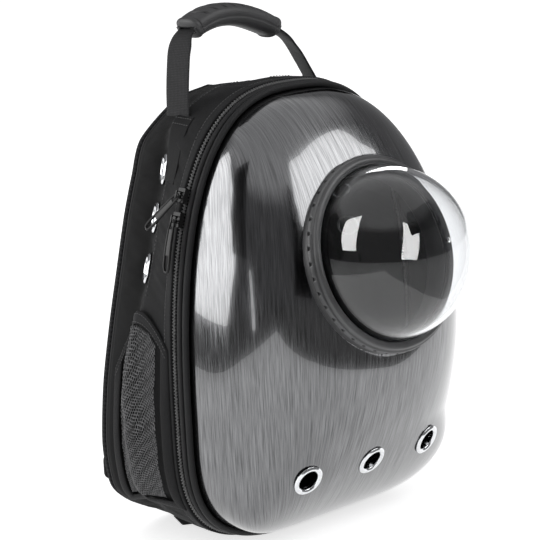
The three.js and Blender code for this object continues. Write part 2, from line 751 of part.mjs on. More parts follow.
// Moulded grip round the webbing, with cut ribs along its top
{
  const stations = 10;
  const sideCount = 10;
  const roundness = 0.8;
  const slotHigh = webThick / 2 + gripSlot;
  const slotWide = (webWide / 2) * webInGrip + gripSlot;
  const outerLoops = [];
  const innerLoops = [];
  for (let i = 0; i <= stations; i += 1) {
    const { middle, across, up } = routeFrame(gripMiddle + ((2 * i) / stations - 1) * gripHalf);
    const outer = [];
    const inner = [];
    for (let j = 0; j < sideCount; j += 1) {
      const angle = ((j + 0.5) / sideCount) * 2 * Math.PI;
      const cosine = Math.cos(angle);
      const sine = Math.sin(angle);
      outer.push(middle.clone()
        .addScaledVector(across, (Math.sign(cosine) * Math.abs(cosine) ** roundness * gripWide) / 2)
        .addScaledVector(up, (Math.sign(sine) * Math.abs(sine) ** roundness * gripHigh) / 2));
      const reach = Math.max(Math.abs(cosine), Math.abs(sine));
      inner.push(middle.clone()
        .addScaledVector(across, (cosine / reach) * slotWide)
        .addScaledVector(up, (sine / reach) * slotHigh));
    }
    outerLoops.push(outer);
    innerLoops.push(inner);
  }
  let grip = solidOf(loft([...outerLoops, ...innerLoops.reverse()], true));
  for (let i = 0; i < gripGrooves; i += 1) {
    const share = gripMiddle + ((2 * i + 1) / gripGrooves - 1) * gripHalf * 0.62;
    const { middle, along, across, up } = routeFrame(share);
    const groove = new THREE.BoxGeometry(grooveWide, gripWide * 0.72, grooveDeep * 2);
    const turn = new THREE.Matrix4().makeBasis(along, across, up);
    turn.setPosition(middle.addScaledVector(up, gripHigh / 2));
    grip = grip.subtract(solidOf(groove.applyMatrix4(turn)));
  }
  addPiece("handle_grip", geometryOf(grip), finish(0x2b2c2f, 0.6));
}

// Reinforcing patch under each foot of the handle, over the ridge
const patchFoot = 10.4 / outlineSpans;
const patchTop = 10.95 / outlineSpans;
const patchLift = 3 * clearance;
for (const [side, sideName] of [[1, "right"], [-1, "left"]]) {
  const backs = [ridgeBack - webWide * 0.6, ridgeBack - webWide * 0.3, ridgeBack, ridgeBack + webWide * 0.3];
  const gridAt = (lift) => [0, 0.34, 0.67, 1].map((up) => backs.map((back) =>
    bodyPointOut(side, THREE.MathUtils.lerp(patchFoot, patchTop, up), back, patchLift + lift)));
  addPiece(`handle_patch_${sideName}`, sheet(gridAt(netThick), gridAt(0)), finish(0x1c1c1f, 0.85));
}

// Shoulder straps: a padded strap down from the top of the panel, a webbing tail with an adjusting
// buckle, and a sewn anchor at each lower corner. Route of the pad: shares of the spread at the top
// and at the low end, of the height between the two ends, and of the stand-off.
const padRoute = [
  { spread: 0, down: 0, off: 0 },
  { spread: 0.08, down: 0.2, off: 0.1 },
  { spread: 0.28, down: 0.45, off: 0.75 },
  { spread: 0.62, down: 0.7, off: 1 },
  { spread: 0.9, down: 0.88, off: 0.8 },
  { spread: 1, down: 1, off: 0.6 },
];
const strapLowSpread = bodyWidth * 0.3;
const padStations = 10;
for (const [side, sideName] of [[1, "right"], [-1, "left"]]) {
  const frameAt = (curve, share) => {
    const middle = curve.getPointAt(share);
    const along = curve.getTangentAt(share);
    const across = new THREE.Vector3(1, 0, 0).addScaledVector(along, -along.x).normalize();
    const outward = new THREE.Vector3().crossVectors(across, along).normalize();
    return { middle, along, across, outward };
  };
  const padCurve = new THREE.CatmullRomCurve3(padRoute.map(({ spread, down, off }) => new THREE.Vector3(
    side * THREE.MathUtils.lerp(strapSpread, strapLowSpread, spread),
    panelBack + clearance + strapThick / 2 + off * strapStandOff,
    THREE.MathUtils.lerp(strapTop, strapLow, down))), false, "catmullrom", 0.5);
  const padLoops = [];
  for (let i = 0; i <= padStations; i += 1) {
    const { middle, across, outward } = frameAt(padCurve, i / padStations);
    const taper = i === 0 || i === padStations ? 0.75 : 1;
    padLoops.push(ovalSection(0, 0, (strapWide / 2) * taper, (strapThick / 2) * taper, 8).map(([a, b]) => {
      const point = middle.clone().addScaledVector(across, a).addScaledVector(outward, b);
      point.y = Math.max(point.y, panelBack + clearance);
      return point;
    }));
  }
  addPiece(`shoulder_pad_${sideName}`, loft(padLoops), finish(0x1a1a1c, 0.92));

  const padEnd = padCurve.getPoint(1);
  const anchorX = side * (bodyWidth / 2) * 0.86;
  const anchorY = panelBack + clearance + strapWebThick * 0.75;
  const webCurve = new THREE.CatmullRomCurve3([
    new THREE.Vector3(padEnd.x, padEnd.y, padEnd.z - 2),
    new THREE.Vector3(padEnd.x * 1.06, padEnd.y - 1, (strapLow * 2 + anchorLow) / 3),
    new THREE.Vector3((padEnd.x + anchorX) / 2, anchorY + strapWebThick + 3, (strapLow + anchorLow * 2) / 3),
    new THREE.Vector3(anchorX - side * 8, anchorY + strapWebThick * 1.4 + clearance, anchorLow + 4),
  ]);
  const webLoops = [];
  const webStations = 10;
  for (let i = 0; i <= webStations; i += 1) {
    const { middle, across, outward } = frameAt(webCurve, i / webStations);
    webLoops.push([[-1, -1], [1, -1], [1, 1], [-1, 1]].map(([a, b]) => middle.clone()
      .addScaledVector(across, (a * strapWebWide) / 2)
      .addScaledVector(outward, (b * strapWebThick) / 2)));
  }
  addPiece(`strap_webbing_${sideName}`, loft(webLoops), finish(0x151517, 0.85));

  const buckle = frameAt(webCurve, 0.25);
  const basis = new THREE.Matrix4().makeBasis(buckle.across, buckle.along, buckle.outward);
  basis.setPosition(buckle.middle);
  const block = solidOf(new THREE.BoxGeometry(buckleWide, buckleHigh, buckleThick).applyMatrix4(basis));
  const slot = new THREE.BoxGeometry(strapWebWide + 6, buckleHigh * 2, buckleThick - 2 * buckleWall);
  addPiece(`strap_buckle_${sideName}`, geometryOf(block.subtract(solidOf(slot.applyMatrix4(basis)))),
    finish(0x202124, 0.45));

  const wedge = [[-12, 10], [-14, -10], [2, -16], [17, -8], [17, 12], [4, 16]];
  const anchorLoops = [-1, 1].map((face) => wedge.map(([out, up]) => new THREE.Vector3(
    anchorX + side * out, anchorY + face * strapWebThick * 0.75, anchorLow + up)));
  addPiece(`strap_anchor_${sideName}`, loft(anchorLoops), finish(0x2a2b2e, 0.85));
}

// Zip sliders on the coil at the left, one above the other. Each has a bridge, and a long wire pull
// hangs from the bridge's eye. The lean turns the pull towards the back, in degrees.
const sliders = [
  { name: "upper", high: sliderHigh, lean: 35 },
  { name: "lower", high: sliderHigh - sliderSpacing, lean: 4 },
];
const eyeHigh = bridgeHigh / 2;
const eyeRadius = eyeHigh - 0.4;
for (const slider of sliders) {
  const level = (slider.high - shellBottom - shellWidestHeight) / (shellHeight - shellWidestHeight + rimReach);
  const angle = Math.asin(level ** (rimCurveUpper / 2));
  const inner = rimPoint(angle, rimReach);
  const above = rimPoint(angle + 0.02, rimReach);
  const alongZip = new THREE.Vector3(-(above.x - inner.x), 0, above.z - inner.z).normalize();
  const outward = new THREE.Vector3(-alongZip.z, 0, alongZip.x);
  const seat = new THREE.Vector3(-inner.x, coilMiddle, inner.z).addScaledVector(outward, clearance);
  const placeBox = (box, out) => {
    const turn = new THREE.Matrix4().makeBasis(outward, new THREE.Vector3(0, -1, 0), alongZip);
    return solidOf(box.applyMatrix4(turn.setPosition(seat.clone().addScaledVector(outward, out))));
  };
  const eyeMiddle = seat.clone().addScaledVector(outward, sliderThick + eyeHigh);
  const body = placeBox(new THREE.BoxGeometry(sliderThick, sliderWide, sliderLong), sliderThick / 2);
  const bridge = placeBox(new THREE.BoxGeometry(bridgeHigh + 1, bridgeThick, bridgeHigh + 0.6),
    sliderThick + eyeHigh - 0.5);
  const eye = drill(eyeRadius, eyeMiddle, new THREE.Vector3(0, 1, 0), 2 * bridgeThick, eyeletSteps);
  const whole = body.add(bridge).subtract(eye);
  addPiece(`zip_slider_${slider.name}`, geometryOf(whole), finish(0x1d1e20, 0.35, 0.6));

  const lean = THREE.MathUtils.degToRad(slider.lean);
  const down = alongZip.clone().multiplyScalar(-Math.cos(lean)).setY(Math.sin(lean));
  const across = alongZip.clone().multiplyScalar(Math.sin(lean)).setY(Math.cos(lean));
  const pivot = eyeMiddle.clone().addScaledVector(down, (eyeRadius / 3) * Math.cos(2 * lean));
  const steps = 16;
  const bend = 0.5;
  const route = [];
  for (let i = 0; i < steps; i += 1) {
    const turnAngle = (i / steps) * 2 * Math.PI;
    const cosine = Math.cos(turnAngle);
    const sine = Math.sin(turnAngle);
    const run = (Math.sign(cosine) * Math.abs(cosine) ** bend * pullLong) / 2;
    route.push(pivot.clone()
      .addScaledVector(down, pullLong / 2 + run)
      .addScaledVector(across, (Math.sign(sine) * Math.abs(sine) ** bend * pullWide) / 2));
  }
  const loops = route.map((point, i) => {
    const tangent = new THREE.Vector3()
      .subVectors(route[(i + 1) % steps], route[(i + steps - 1) % steps]).normalize();
    const sideways = new THREE.Vector3().crossVectors(tangent, outward).normalize();
    return ovalSection(0, 0, pullWire / 2, pullWire / 2, 5).map(([a, b]) => point.clone()
      .addScaledVector(sideways, a).addScaledVector(outward, b));
  });
  addPiece(`zip_pull_${slider.name}`, loft(loops, true), finish(0x232427, 0.4, 0.5));
}

// Pointed tab of folded fabric that covers the end of the zip, under the left corner. Each row is a
// place on the body's outline and how far the tab hangs below it.
const tabRows = [
  { row: 1.36, hang: 1 },
  { row: 1.62, hang: 5 },
  { row: 1.86, hang: 7 },
  { row: 2.15, hang: 1.2 },
];
{
  const tabBack = valleyBack - 4;
  const gridAt = (back) => [0, 1].map((low) => tabRows.map(({ row, hang }) => {
    const point = bodyPointOut(-1, row / outlineSpans, tabBack, 3 * clearance).setY(back);
    point.z = Math.max(point.z - low * hang, clearance);
    return point;
  }));
  const tabHalf = clothThick * 0.6;
  addPiece("zip_end_tab", sheet(gridAt(tabBack - tabHalf), gridAt(tabBack + tabHalf)), finish(0x141416, 0.9));
}

carrier.position.y = -(ridgeBack + bodyBack) / 2;
export default carrier;
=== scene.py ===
"""Bubble window pet carrier backpack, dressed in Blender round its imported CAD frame.

Lengths in the tables are millimetres, as on a pattern sheet; meshes are in metres. The carrier
stands on its base at the origin, its front faces -Y and +Z is up.
"""

import math

import bpy
import numpy as np
from mathutils import Matrix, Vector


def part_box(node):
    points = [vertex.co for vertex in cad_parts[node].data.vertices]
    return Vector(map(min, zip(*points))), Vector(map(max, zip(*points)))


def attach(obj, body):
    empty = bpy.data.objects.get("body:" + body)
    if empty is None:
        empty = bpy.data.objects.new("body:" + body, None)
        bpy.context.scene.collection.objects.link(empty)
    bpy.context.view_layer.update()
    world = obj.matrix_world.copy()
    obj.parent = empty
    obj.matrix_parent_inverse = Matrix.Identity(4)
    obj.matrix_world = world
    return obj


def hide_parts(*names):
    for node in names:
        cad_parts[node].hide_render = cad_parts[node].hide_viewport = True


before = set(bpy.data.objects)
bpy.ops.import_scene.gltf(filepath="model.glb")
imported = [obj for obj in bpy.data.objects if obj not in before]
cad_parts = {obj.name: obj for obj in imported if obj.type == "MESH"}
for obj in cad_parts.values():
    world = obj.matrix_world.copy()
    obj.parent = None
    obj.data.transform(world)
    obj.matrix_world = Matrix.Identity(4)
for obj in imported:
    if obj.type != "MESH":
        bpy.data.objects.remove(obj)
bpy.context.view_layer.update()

rim_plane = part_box("front_shell")[1].y * 1000


# ---- Camera. It stands in front of the carrier's left side, a little above its middle, and leans
# slightly, with a long lens that fills the square picture with the carrier.
def standing(across, up, toward, centre):
    """The matrix of a thing whose three axes point along across, up and toward, with its middle at
    centre."""
    return Matrix([*np.column_stack([across, up, toward, centre]).tolist(), [0, 0, 0, 1]])


turn, climb, lean = math.radians(-42.25), math.radians(12.23), math.radians(-2.85)
toward_eye = np.array([math.sin(turn) * math.cos(climb), -math.cos(turn) * math.cos(climb), math.sin(climb)])
level = np.array([math.cos(turn), math.sin(turn), 0.0])
upright = np.cross(toward_eye, level)
right = level * math.cos(lean) + upright * math.sin(lean)
upward = upright * math.cos(lean) - level * math.sin(lean)
eye = np.array([-0.04341, -0.088, 0.25061]) + toward_eye * 1.74235
lens = bpy.data.cameras.new("camera")
lens.lens, lens.sensor_width, lens.clip_start, lens.clip_end = 128.18, 36.0, 0.05, 200.0
camera = bpy.data.objects.new("camera", lens)
bpy.context.scene.collection.objects.link(camera)
camera.matrix_world = standing(right, upward, toward_eye, eye)
bpy.context.scene.camera = camera
bpy.context.scene.view_settings.view_transform = "Standard"


# ---- Studio. A wide white floor that glows a little, so that it stays white up to the carrier's
# shadow, a dim room, and tall soft window lights that the glossy shell and the bubble mirror.
def add_node(tree, kind, **values):
    """A shader node with its properties or sockets set by name."""
    made = tree.nodes.new(kind)
    for key, value in values.items():
        if key in made.inputs:
            made.inputs[key].default_value = value
        else:
            setattr(made, key, value)
    return made


def new_finish(name, **sockets):
    """A material with one Principled shader whose named sockets are set, with its node tree and shader."""
    material = bpy.data.materials.new(name)
    material.use_nodes = True
    shader = material.node_tree.nodes["Principled BSDF"]
    for key, value in sockets.items():
        shader.inputs[key.replace("_", " ")].default_value = value
    return material, material.node_tree, shader


def wire(tree, *joins):
    """Joins node outputs to inputs: each join is (node, output, node, input)."""
    for source, out_name, target, in_name in joins:
        tree.links.new(source.outputs[out_name], target.inputs[in_name])


def colour_ramp(tree, dark, light, low=0.0, high=1.0):
    """A ramp from one colour at low to another at high."""
    ramp = add_node(tree, "ShaderNodeValToRGB")
    first, last = ramp.color_ramp.elements
    first.position, last.position = low, high
    first.color, last.color = (*dark, 1), (*light, 1)
    return ramp


def unit(vectors):
    """The vectors divided by their length, counted over the last axis."""
    return vectors / np.linalg.norm(vectors, axis=-1, keepdims=True)


floor_paint, tree, shader = new_finish("floor_paint", Roughness=0.95, Specular_IOR_Level=0.1,
                                       Emission_Color=(1, 1, 1, 1), Emission_Strength=0.72)
mottle = add_node(tree, "ShaderNodeTexNoise", Scale=3.0, Detail=2.0)
place = add_node(tree, "ShaderNodeTexCoord")
tint = add_node(tree, "ShaderNodeMapRange", **{"To Min": 0.78, "To Max": 0.82})
wire(tree, (place, "Object", mottle, "Vector"), (mottle, "Fac", tint, "Value"),
     (tint, "Result", shader, "Base Color"))


def stage_sheet(name, corners, material):
    """A flat or slightly bent sheet of the studio: a fan of triangles from the middle of its corners."""
    corners = [tuple(c) for c in corners]
    middle = tuple(np.mean(corners, axis=0))
    mesh = bpy.data.meshes.new(name)
    count = len(corners)
    mesh.from_pydata(corners + [middle], [], [(k, (k + 1) % count, count) for k in range(count)])
    mesh.materials.append(material)
    made = bpy.data.objects.new(name, mesh)
    bpy.context.scene.collection.objects.link(made)
    return made


stage_sheet("floor", [(-40, -40, 0), (40, -40, 0), (40, 40, 0), (-40, 40, 0)], floor_paint)
room = bpy.data.worlds.new("room")
room.use_nodes = True
tree = room.node_tree
place = add_node(tree, "ShaderNodeTexCoord")
height = add_node(tree, "ShaderNodeSeparateXYZ")
walls = colour_ramp(tree, (0.20, 0.20, 0.205), (0.80, 0.80, 0.81), 0.62, 0.74)
wire(tree, (place, "Generated", height, "Vector"), (height, "Z", walls, "Fac"),
     (walls, "Color", tree.nodes["Background"], "Color"))
bpy.context.scene.world = room


def glow_paint(name, strength):
    """Plain white light of one strength."""
    material = bpy.data.materials.new(name)
    material.use_nodes = True
    tree = material.node_tree
    tree.nodes.clear()
    glow = add_node(tree, "ShaderNodeEmission", Strength=strength)
    end = add_node(tree, "ShaderNodeOutputMaterial")
    wire(tree, (glow, "Emission", end, "Surface"))
    return material


def mirrored_only(piece):
    """The sheet shows in reflections and nowhere else."""
    piece.visible_camera = piece.visible_diffuse = piece.visible_transmission = piece.visible_shadow = False
    return piece


def window_sheet(name, corners, strength):
    """A bright sheet with those corners in metres, seen only in reflections."""
    return mirrored_only(stage_sheet(name, corners, glow_paint(f"{name}_glow", strength)))


shell_windows = [
    window_sheet("window_left", [
        (-1.06, 1.38, 1.90), (-1.22, 1.09, 1.83), (-2.01, 0.24, 1.37), (-2.15, 0.05, 1.14),
        (-2.28, 0.16, 0.62), (-2.23, 0.52, 0.02), (-1.75, 1.35, 0.02), (-0.95, 1.95, 0.1)], 4.1),
    window_sheet("window_right", [
        (0.07, -1.43, 2.14), (0.55, -1.37, 2.09), (1.51, -0.78, 1.85), (1.60, -0.97, 1.65),
        (1.73, -0.96, 1.49), (1.40, -1.50, 1.20), (-0.42, -2.10, 1.32), (-0.31, -1.99, 1.52)], 3.9),
    window_sheet("curtain_gap", [
        (-2.24, -0.57, 0.70), (-2.21, -0.66, 0.72), (-2.15, -0.86, -0.05), (-2.21, -0.71, -0.05)], 3.0)]
bubble_windows = [
    window_sheet("bubble_window_left", [
        (-1.49, 0.54, 1.81), (-1.27, -0.11, 2.15), (-2.20, -0.43, 0.81), (-2.14, 0.38, 0.74)], 17.0),
    window_sheet("bubble_window_right", [
        (-0.31, -1.68, 1.96), (0.24, -2.08, 1.51), (-0.25, -2.45, 0.28), (-1.02, -2.22, 0.42)], 17.0),
    window_sheet("bubble_window_top", [
        (0.85, 1.49, 1.46), (1.71, 1.18, 0.55), (1.70, 0.92, 1.18), (1.27, 1.11, 1.57)], 8.0)]
dark_floor, floor_lift, far = glow_paint("dark_floor", 0.2), 0.002, 60
for name, corners in (
        ("floor_beyond_left", [(-1.30, -1.36), (-1.04, -0.16), (-0.79, 0.37), (-0.3, 1.5), (-far, 20.0),
                               (-far, -far)]),
        ("floor_beyond_front", [(-1.30, -1.36), (-far, -far), (far, -far), (far, -8.0), (3.0, -0.7),
                                (0.24, -0.39), (-0.10, -0.64), (-0.63, -0.94)])):
    mirrored_only(stage_sheet(name, [(*corner, floor_lift) for corner in corners], dark_floor))


def soft_light(name, centre, aim, wide, high, power):
    """A wide lamp at centre that faces aim and lights without showing in reflections."""
    lamp = bpy.data.lights.new(name, "AREA")
    lamp.shape, lamp.size, lamp.size_y, lamp.energy = "RECTANGLE", wide, high, power
    made = bpy.data.objects.new(name, lamp)
    bpy.context.scene.collection.objects.link(made)
    away = np.array(centre, float) - np.array(aim, float)
    away = unit(away)
    side = np.cross((0.0, 0.0, 1.0), away)
    side = unit(side)
    made.matrix_world = standing(side, np.cross(away, side), away, centre)
    made.visible_glossy = False
    made.visible_transmission = False
    return made


soft_light("soft_left", (-2.2, -1.4, 1.8), (0, -0.1, 0.25), 1.6, 1.6, 20)
soft_light("soft_right", (1.6, -2.0, 2.0), (0, -0.1, 0.25), 1.6, 1.6, 16)
soft_light("soft_back", (0.4, 2.0, 2.4), (0, 0, 0.25), 2.0, 2.0, 14)


# ---- Hard front shell: moulded plastic with a glossy gunmetal coat, about 2 mm thick, deepest a bit
# above the middle. Fine upright streaks run in the coat. It has a round window hole and three air holes.
rim_half, rim_middle = 145.0, 120.6
rim_rise, rim_fall = 289.4, 112.6
shell_low, shell_top, shell_deepest, shell_depth = 8.0, 410.0, 217.0, 114.6
window_at = np.array([0.0, rim_plane - 104.01, 270.6])
window_axis = np.array([0.0, -0.964095, 0.265556])


def rim_at(turned_by, grow=0.0):
    """Superellipse of the rim, power 2.68 above its widest level and 3.2 below, grown outward by grow."""
    s, c = np.sin(turned_by), np.cos(turned_by)
    power = np.where(s >= 0, 2 / 2.68, 2 / 3.2)
    rise = np.where(s >= 0, rim_rise + grow, rim_fall + grow)
    x = np.sign(c) * (rim_half + grow) * np.abs(c) ** power
    return x, rim_middle + np.sign(s) * rise * np.abs(s) ** power


def rim_line(count):
    """The rim in count points, evenly spaced along its length, with the outward direction at each."""
    x, z = rim_at(np.linspace(0, 2 * np.pi, 24001))
    length = np.concatenate([[0], np.cumsum(np.hypot(np.diff(x), np.diff(z)))])
    even = np.linspace(0, length[-1], count, endpoint=False)
    x, z = np.interp(even, length, x), np.interp(even, length, z)
    dx, dz = np.roll(x, -1) - np.roll(x, 1), np.roll(z, -1) - np.roll(z, 1)
    size = np.hypot(dx, dz)
    return x, z, dz / size, -dx / size


def ease(value, low, high):
    """Smooth step from 0 at low to 1 at high."""
    t = np.clip((value - low) / (high - low), 0, 1)
    return t * t * (3 - 2 * t)


def squared(wave, power):
    """A sine or cosine raised to a power with its sign kept, which squares or pinches a section."""
    return np.sign(wave) * np.abs(wave) ** power


def shell_reach(x, z):
    """How far the shell stands before its rim: an arch over the height times a rounded level section."""
    span = np.where(z < shell_deepest, shell_deepest - shell_low, shell_top - shell_deepest)
    share = np.clip(np.abs(z - shell_deepest) / span, 0, 1)
    root = np.where(z < shell_deepest, 2.42, 2.7)
    taper = np.where(z < shell_deepest, 0.29, 0.33)
    arch = (1 - share ** 2) ** (1 / root) * (1 - taper * share ** 2)
    power = np.where(z < rim_middle, 3.2, 2.68)
    reach = np.where(z < rim_middle, rim_fall, rim_rise)
    at_level = np.clip(np.abs(z - rim_middle) / reach, 0, 1)
    half = np.maximum(rim_half * (1 - at_level ** power) ** (1 / power), 1e-6)
    across = np.clip(np.abs(x) / half, 0, 1)
    square = 6.3 + (2.7 - 6.3) * ease(z / 402, 0.02, 0.25)
    section = (1 - across ** square) ** (1 / square) * (1 - 0.02 * across ** 2)
    return shell_depth * arch * section


def grid_piece(name, points, around=False, along=False, turned=False, keep=None, uv=None):
    """A mesh of four-sided faces on rows by columns of points in mm. around joins the last column to
    the first and along the last row. Its UV map counts metres along the rows and columns."""
    rows, cols = points.shape[:2]
    index = np.arange(rows * cols).reshape(rows, cols)
    index = np.hstack([index, index[:, :1]]) if around else index
    index = np.vstack([index, index[:1]]) if along else index
    whole = points.reshape(-1, 3)[index]
    if uv is None:
        u = np.concatenate([[0], np.cumsum(np.linalg.norm(np.diff(whole, axis=1), axis=2).mean(0))])
        v = np.concatenate([[0], np.cumsum(np.linalg.norm(np.diff(whole, axis=0), axis=2).mean(1))])
        uv = np.stack(np.meshgrid(u / 1000, v / 1000), -1)
    place_of = np.arange(index.size).reshape(index.shape)
    faces, corners = [np.stack([g[:-1, :-1], g[:-1, 1:], g[1:, 1:], g[1:, :-1]], -1)
                      for g in (index, place_of)]
    if keep is not None:
        faces, corners = faces[keep], corners[keep]
    faces, corners = faces.reshape(-1, 4), corners.reshape(-1, 4)
    if turned:
        faces, corners = faces[:, ::-1], corners[:, ::-1]
    mesh = bpy.data.meshes.new(name)
    mesh.from_pydata((points.reshape(-1, 3) / 1000).tolist(), [], faces.tolist())
    layer = mesh.uv_layers.new(name="UVMap")
    layer.data.foreach_set("uv", uv.reshape(-1, 2)[corners.reshape(-1)].astype(np.float32).ravel())
    mesh.polygons.foreach_set("use_smooth", np.ones(len(mesh.polygons), bool))
    made = bpy.data.objects.new(name, mesh)
    bpy.context.scene.collection.objects.link(made)
    return made


def bore(points, keep, centre, axis, radius, around=True):
    """Opens a round hole in a grid: faces with all corners inside the radius go, and the corners left
    inside move straight out to the circle."""
    away = points - centre
    off_axis = away - (away @ axis)[..., None] * axis
    far = np.linalg.norm(off_axis, axis=2)
    near = (far < radius) & (np.abs(away @ axis) < 30)
    ring = np.hstack([near, near[:, :1]]) if around else near
    whole = ring[:-1, :-1] & ring[:-1, 1:] & ring[1:, 1:] & ring[1:, :-1]
    keep &= ~whole
    push = np.where(near, radius / np.maximum(far, 1e-6) - 1, 0)[..., None]
    points += off_axis * np.where(near[..., None], push, 0) * (far > radius * 0.4)[..., None]


def wall(piece, thick, offset=-1.0):
    """A live Solidify of that thickness in mm, inward at offset -1."""
    made = piece.modifiers.new("wall", "SOLIDIFY")
    made.thickness, made.offset, made.use_even_offset = thick / 1000, offset, False
    return piece


def settle(piece, material, body, slot_name, *nodes):
    """Gives a piece its material, body and the CAD nodes that it stands for. slot_name is not used."""
    piece.data.materials.append(material)
    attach(piece, body)
    if nodes:
        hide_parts(*nodes)
    return piece


rim_x, rim_z, rim_nx, rim_nz = rim_line(336)
shrink = 1 - np.concatenate([0.12 * np.linspace(0, 1, 56) ** 6, np.linspace(0.12, 0.97, 58)[1:]])
shell_x = rim_x[None] * shrink[:, None]
shell_z = 209 + (rim_z[None] - 209) * shrink[:, None]
shell_points = np.stack([shell_x, rim_plane - shell_reach(shell_x, shell_z), shell_z], -1)
shell_keep = np.ones((len(shrink) - 1, 336), bool)
bore(shell_points, shell_keep, window_at, window_axis, 86.4)
front_eyelets, eyelet_hole, eyelet_high, eyelet_apart = [], 11.9, 75.0, 77.0
for name, across in (("front_eyelet_left", -eyelet_apart), ("front_eyelet_middle", 0.0),
                     ("front_eyelet_right", eyelet_apart)):
    here, step = np.array([across, eyelet_high]), 0.5
    depth = [shell_reach(*(here + d)) for d in ([0, 0], [step, 0], [-step, 0], [0, step], [0, -step])]
    out = np.array([-(depth[1] - depth[2]) / (2 * step), -1.0, -(depth[3] - depth[4]) / (2 * step)])
    out = unit(out)
    at = np.array([across, rim_plane - depth[0], eyelet_high])
    front_eyelets.append((name, at, out))
    bore(shell_points, shell_keep, at, out, eyelet_hole)
gunmetal, tree, shader = new_finish("gunmetal_coat", Metallic=1.0, Roughness=0.14, Coat_Weight=1.0,
                                    Coat_Roughness=0.015, Coat_IOR=1.5)
place = add_node(tree, "ShaderNodeTexCoord")
fine_map = add_node(tree, "ShaderNodeMapping", Scale=(1.0, 0.022, 1.0))
broad_map = add_node(tree, "ShaderNodeMapping", Scale=(1.0, 0.03, 1.0), Location=(0.37, 0.11, 0.0))
hairs = add_node(tree, "ShaderNodeTexNoise", Scale=1600.0, Detail=2.0, Roughness=0.6, Distortion=0.1)
brush = add_node(tree, "ShaderNodeTexNoise", Scale=560.0, Detail=3.0, Roughness=0.6, Distortion=0.15)
blend = add_node(tree, "ShaderNodeMath", operation="MULTIPLY_ADD")
blend.inputs[1].default_value = 0.7
paint = colour_ramp(tree, (0.050, 0.051, 0.053), (0.185, 0.187, 0.192), 0.62)
gloss = add_node(tree, "ShaderNodeMapRange", **{"From Min": 0.3, "From Max": 0.7, "To Min": 0.10,
                                                "To Max": 0.22})
for mapping, noise in ((fine_map, hairs), (broad_map, brush)):
    wire(tree, (place, "UV", mapping, "Vector"), (mapping, "Vector", noise, "Vector"))
wire(tree, (brush, "Fac", blend, 0), (hairs, "Fac", blend, 2), (blend, "Value", paint, "Fac"),
     (paint, "Color", shader, "Base Color"), (hairs, "Fac", gloss, "Value"),
     (gloss, "Result", shader, "Roughness"))
closed_x, closed_y, closed_z = np.moveaxis(np.hstack([shell_points, shell_points[:, :1]]), -1, 0)
side_drop = closed_y - (rim_plane - shell_depth)
spread_x = closed_x + np.sign(closed_x) * side_drop * ease(np.abs(closed_x), 40, 110)
shell_uv = np.stack([spread_x, closed_z], -1) / 1000
front_shell = grid_piece("shell_moulding", shell_points, around=True, keep=shell_keep, uv=shell_uv)
wall(front_shell, 2.0)
settle(front_shell, gunmetal, "carrier", "shell", "front_shell")


# ---- Bands round the rim: a padded cord binding that hides the shell's edge, the zip tape beside it,
# and the zip's coil, whose turns show as fine teeth. All are swept round the same rim.
def cloth_finish(name, dark, light, pitch, relief, rough=0.85, sheen=0.02, ribs=(1.0, 1.0), cloud=0.35):
    """Plain weave on the UV map: two sets of bands a pitch in mm apart multiply into bobbles, whose
    crests are lighter and stand up by relief in mm; a cloudy noise makes the dye uneven."""
    material, tree, shader = new_finish(name, Roughness=rough, Sheen_Weight=sheen, Sheen_Roughness=0.5,
                                        Specular_IOR_Level=0.16)
    place = add_node(tree, "ShaderNodeTexCoord")
    bands = []
    for direction, share in zip("XY", ribs):
        band = add_node(tree, "ShaderNodeTexWave", wave_type="BANDS", bands_direction=direction,
                        wave_profile="SIN", Scale=314.16 / pitch * share, Distortion=0.6, Detail=1.0)
        band.inputs["Detail Scale"].default_value = 2.0
        wire(tree, (place, "UV", band, "Vector"))
        bands.append(band)
    crest = add_node(tree, "ShaderNodeMath", operation="MULTIPLY")
    clouds = add_node(tree, "ShaderNodeTexNoise", Scale=38.0, Detail=5.0, Roughness=0.6)
    mix = add_node(tree, "ShaderNodeMath", operation="MULTIPLY_ADD")
    mix.inputs[1].default_value = cloud
    ramp = colour_ramp(tree, dark, light)
    bump = add_node(tree, "ShaderNodeBump", Strength=0.7, Distance=relief / 1000)
    wire(tree, (bands[0], "Fac", crest, 0), (bands[1], "Fac", crest, 1),
         (place, "Object", clouds, "Vector"), (clouds, "Fac", mix, 0), (crest, "Value", mix, 2),
         (mix, "Value", ramp, "Fac"), (ramp, "Color", shader, "Base Color"),
         (crest, "Value", bump, "Height"), (bump, "Normal", shader, "Normal"))
    return material


def mottled(name, scale, detail, dark, light, **sockets):
    """A finish whose colour is a noise on Object coordinates between two colours."""
    material, tree, shader = new_finish(name, **sockets)
    place = add_node(tree, "ShaderNodeTexCoord")
    wear = add_node(tree, "ShaderNodeTexNoise", Scale=scale, Detail=detail)
    ramp = colour_ramp(tree, dark, light)
    wire(tree, (place, "Object", wear, "Vector"), (wear, "Fac", ramp, "Fac"),
         (ramp, "Color", shader, "Base Color"))
    return material


def rim_band(name, section, count=480):
    """A closed section of (out, back) points in mm, carried round the rim in its outward direction."""
    x, z, nx, nz = rim_line(count)
    out, back = np.array(section, float).T
    points = np.stack([x[None] + nx[None] * out[:, None],
                       np.full((len(out), count), rim_plane) + back[:, None],
                       z[None] + nz[None] * out[:, None]], -1)
    return grid_piece(name, points, around=True, along=True, turned=True)


def oval(out, back, half_out, half_back, steps=16, power=1.0):
    """An oval section round (out, back); a power below 1 squares its corners."""
    t = np.linspace(0, 2 * np.pi, steps, endpoint=False)
    return np.stack([out + half_out * squared(np.cos(t), power),
                     back + half_back * squared(np.sin(t), power)], -1)


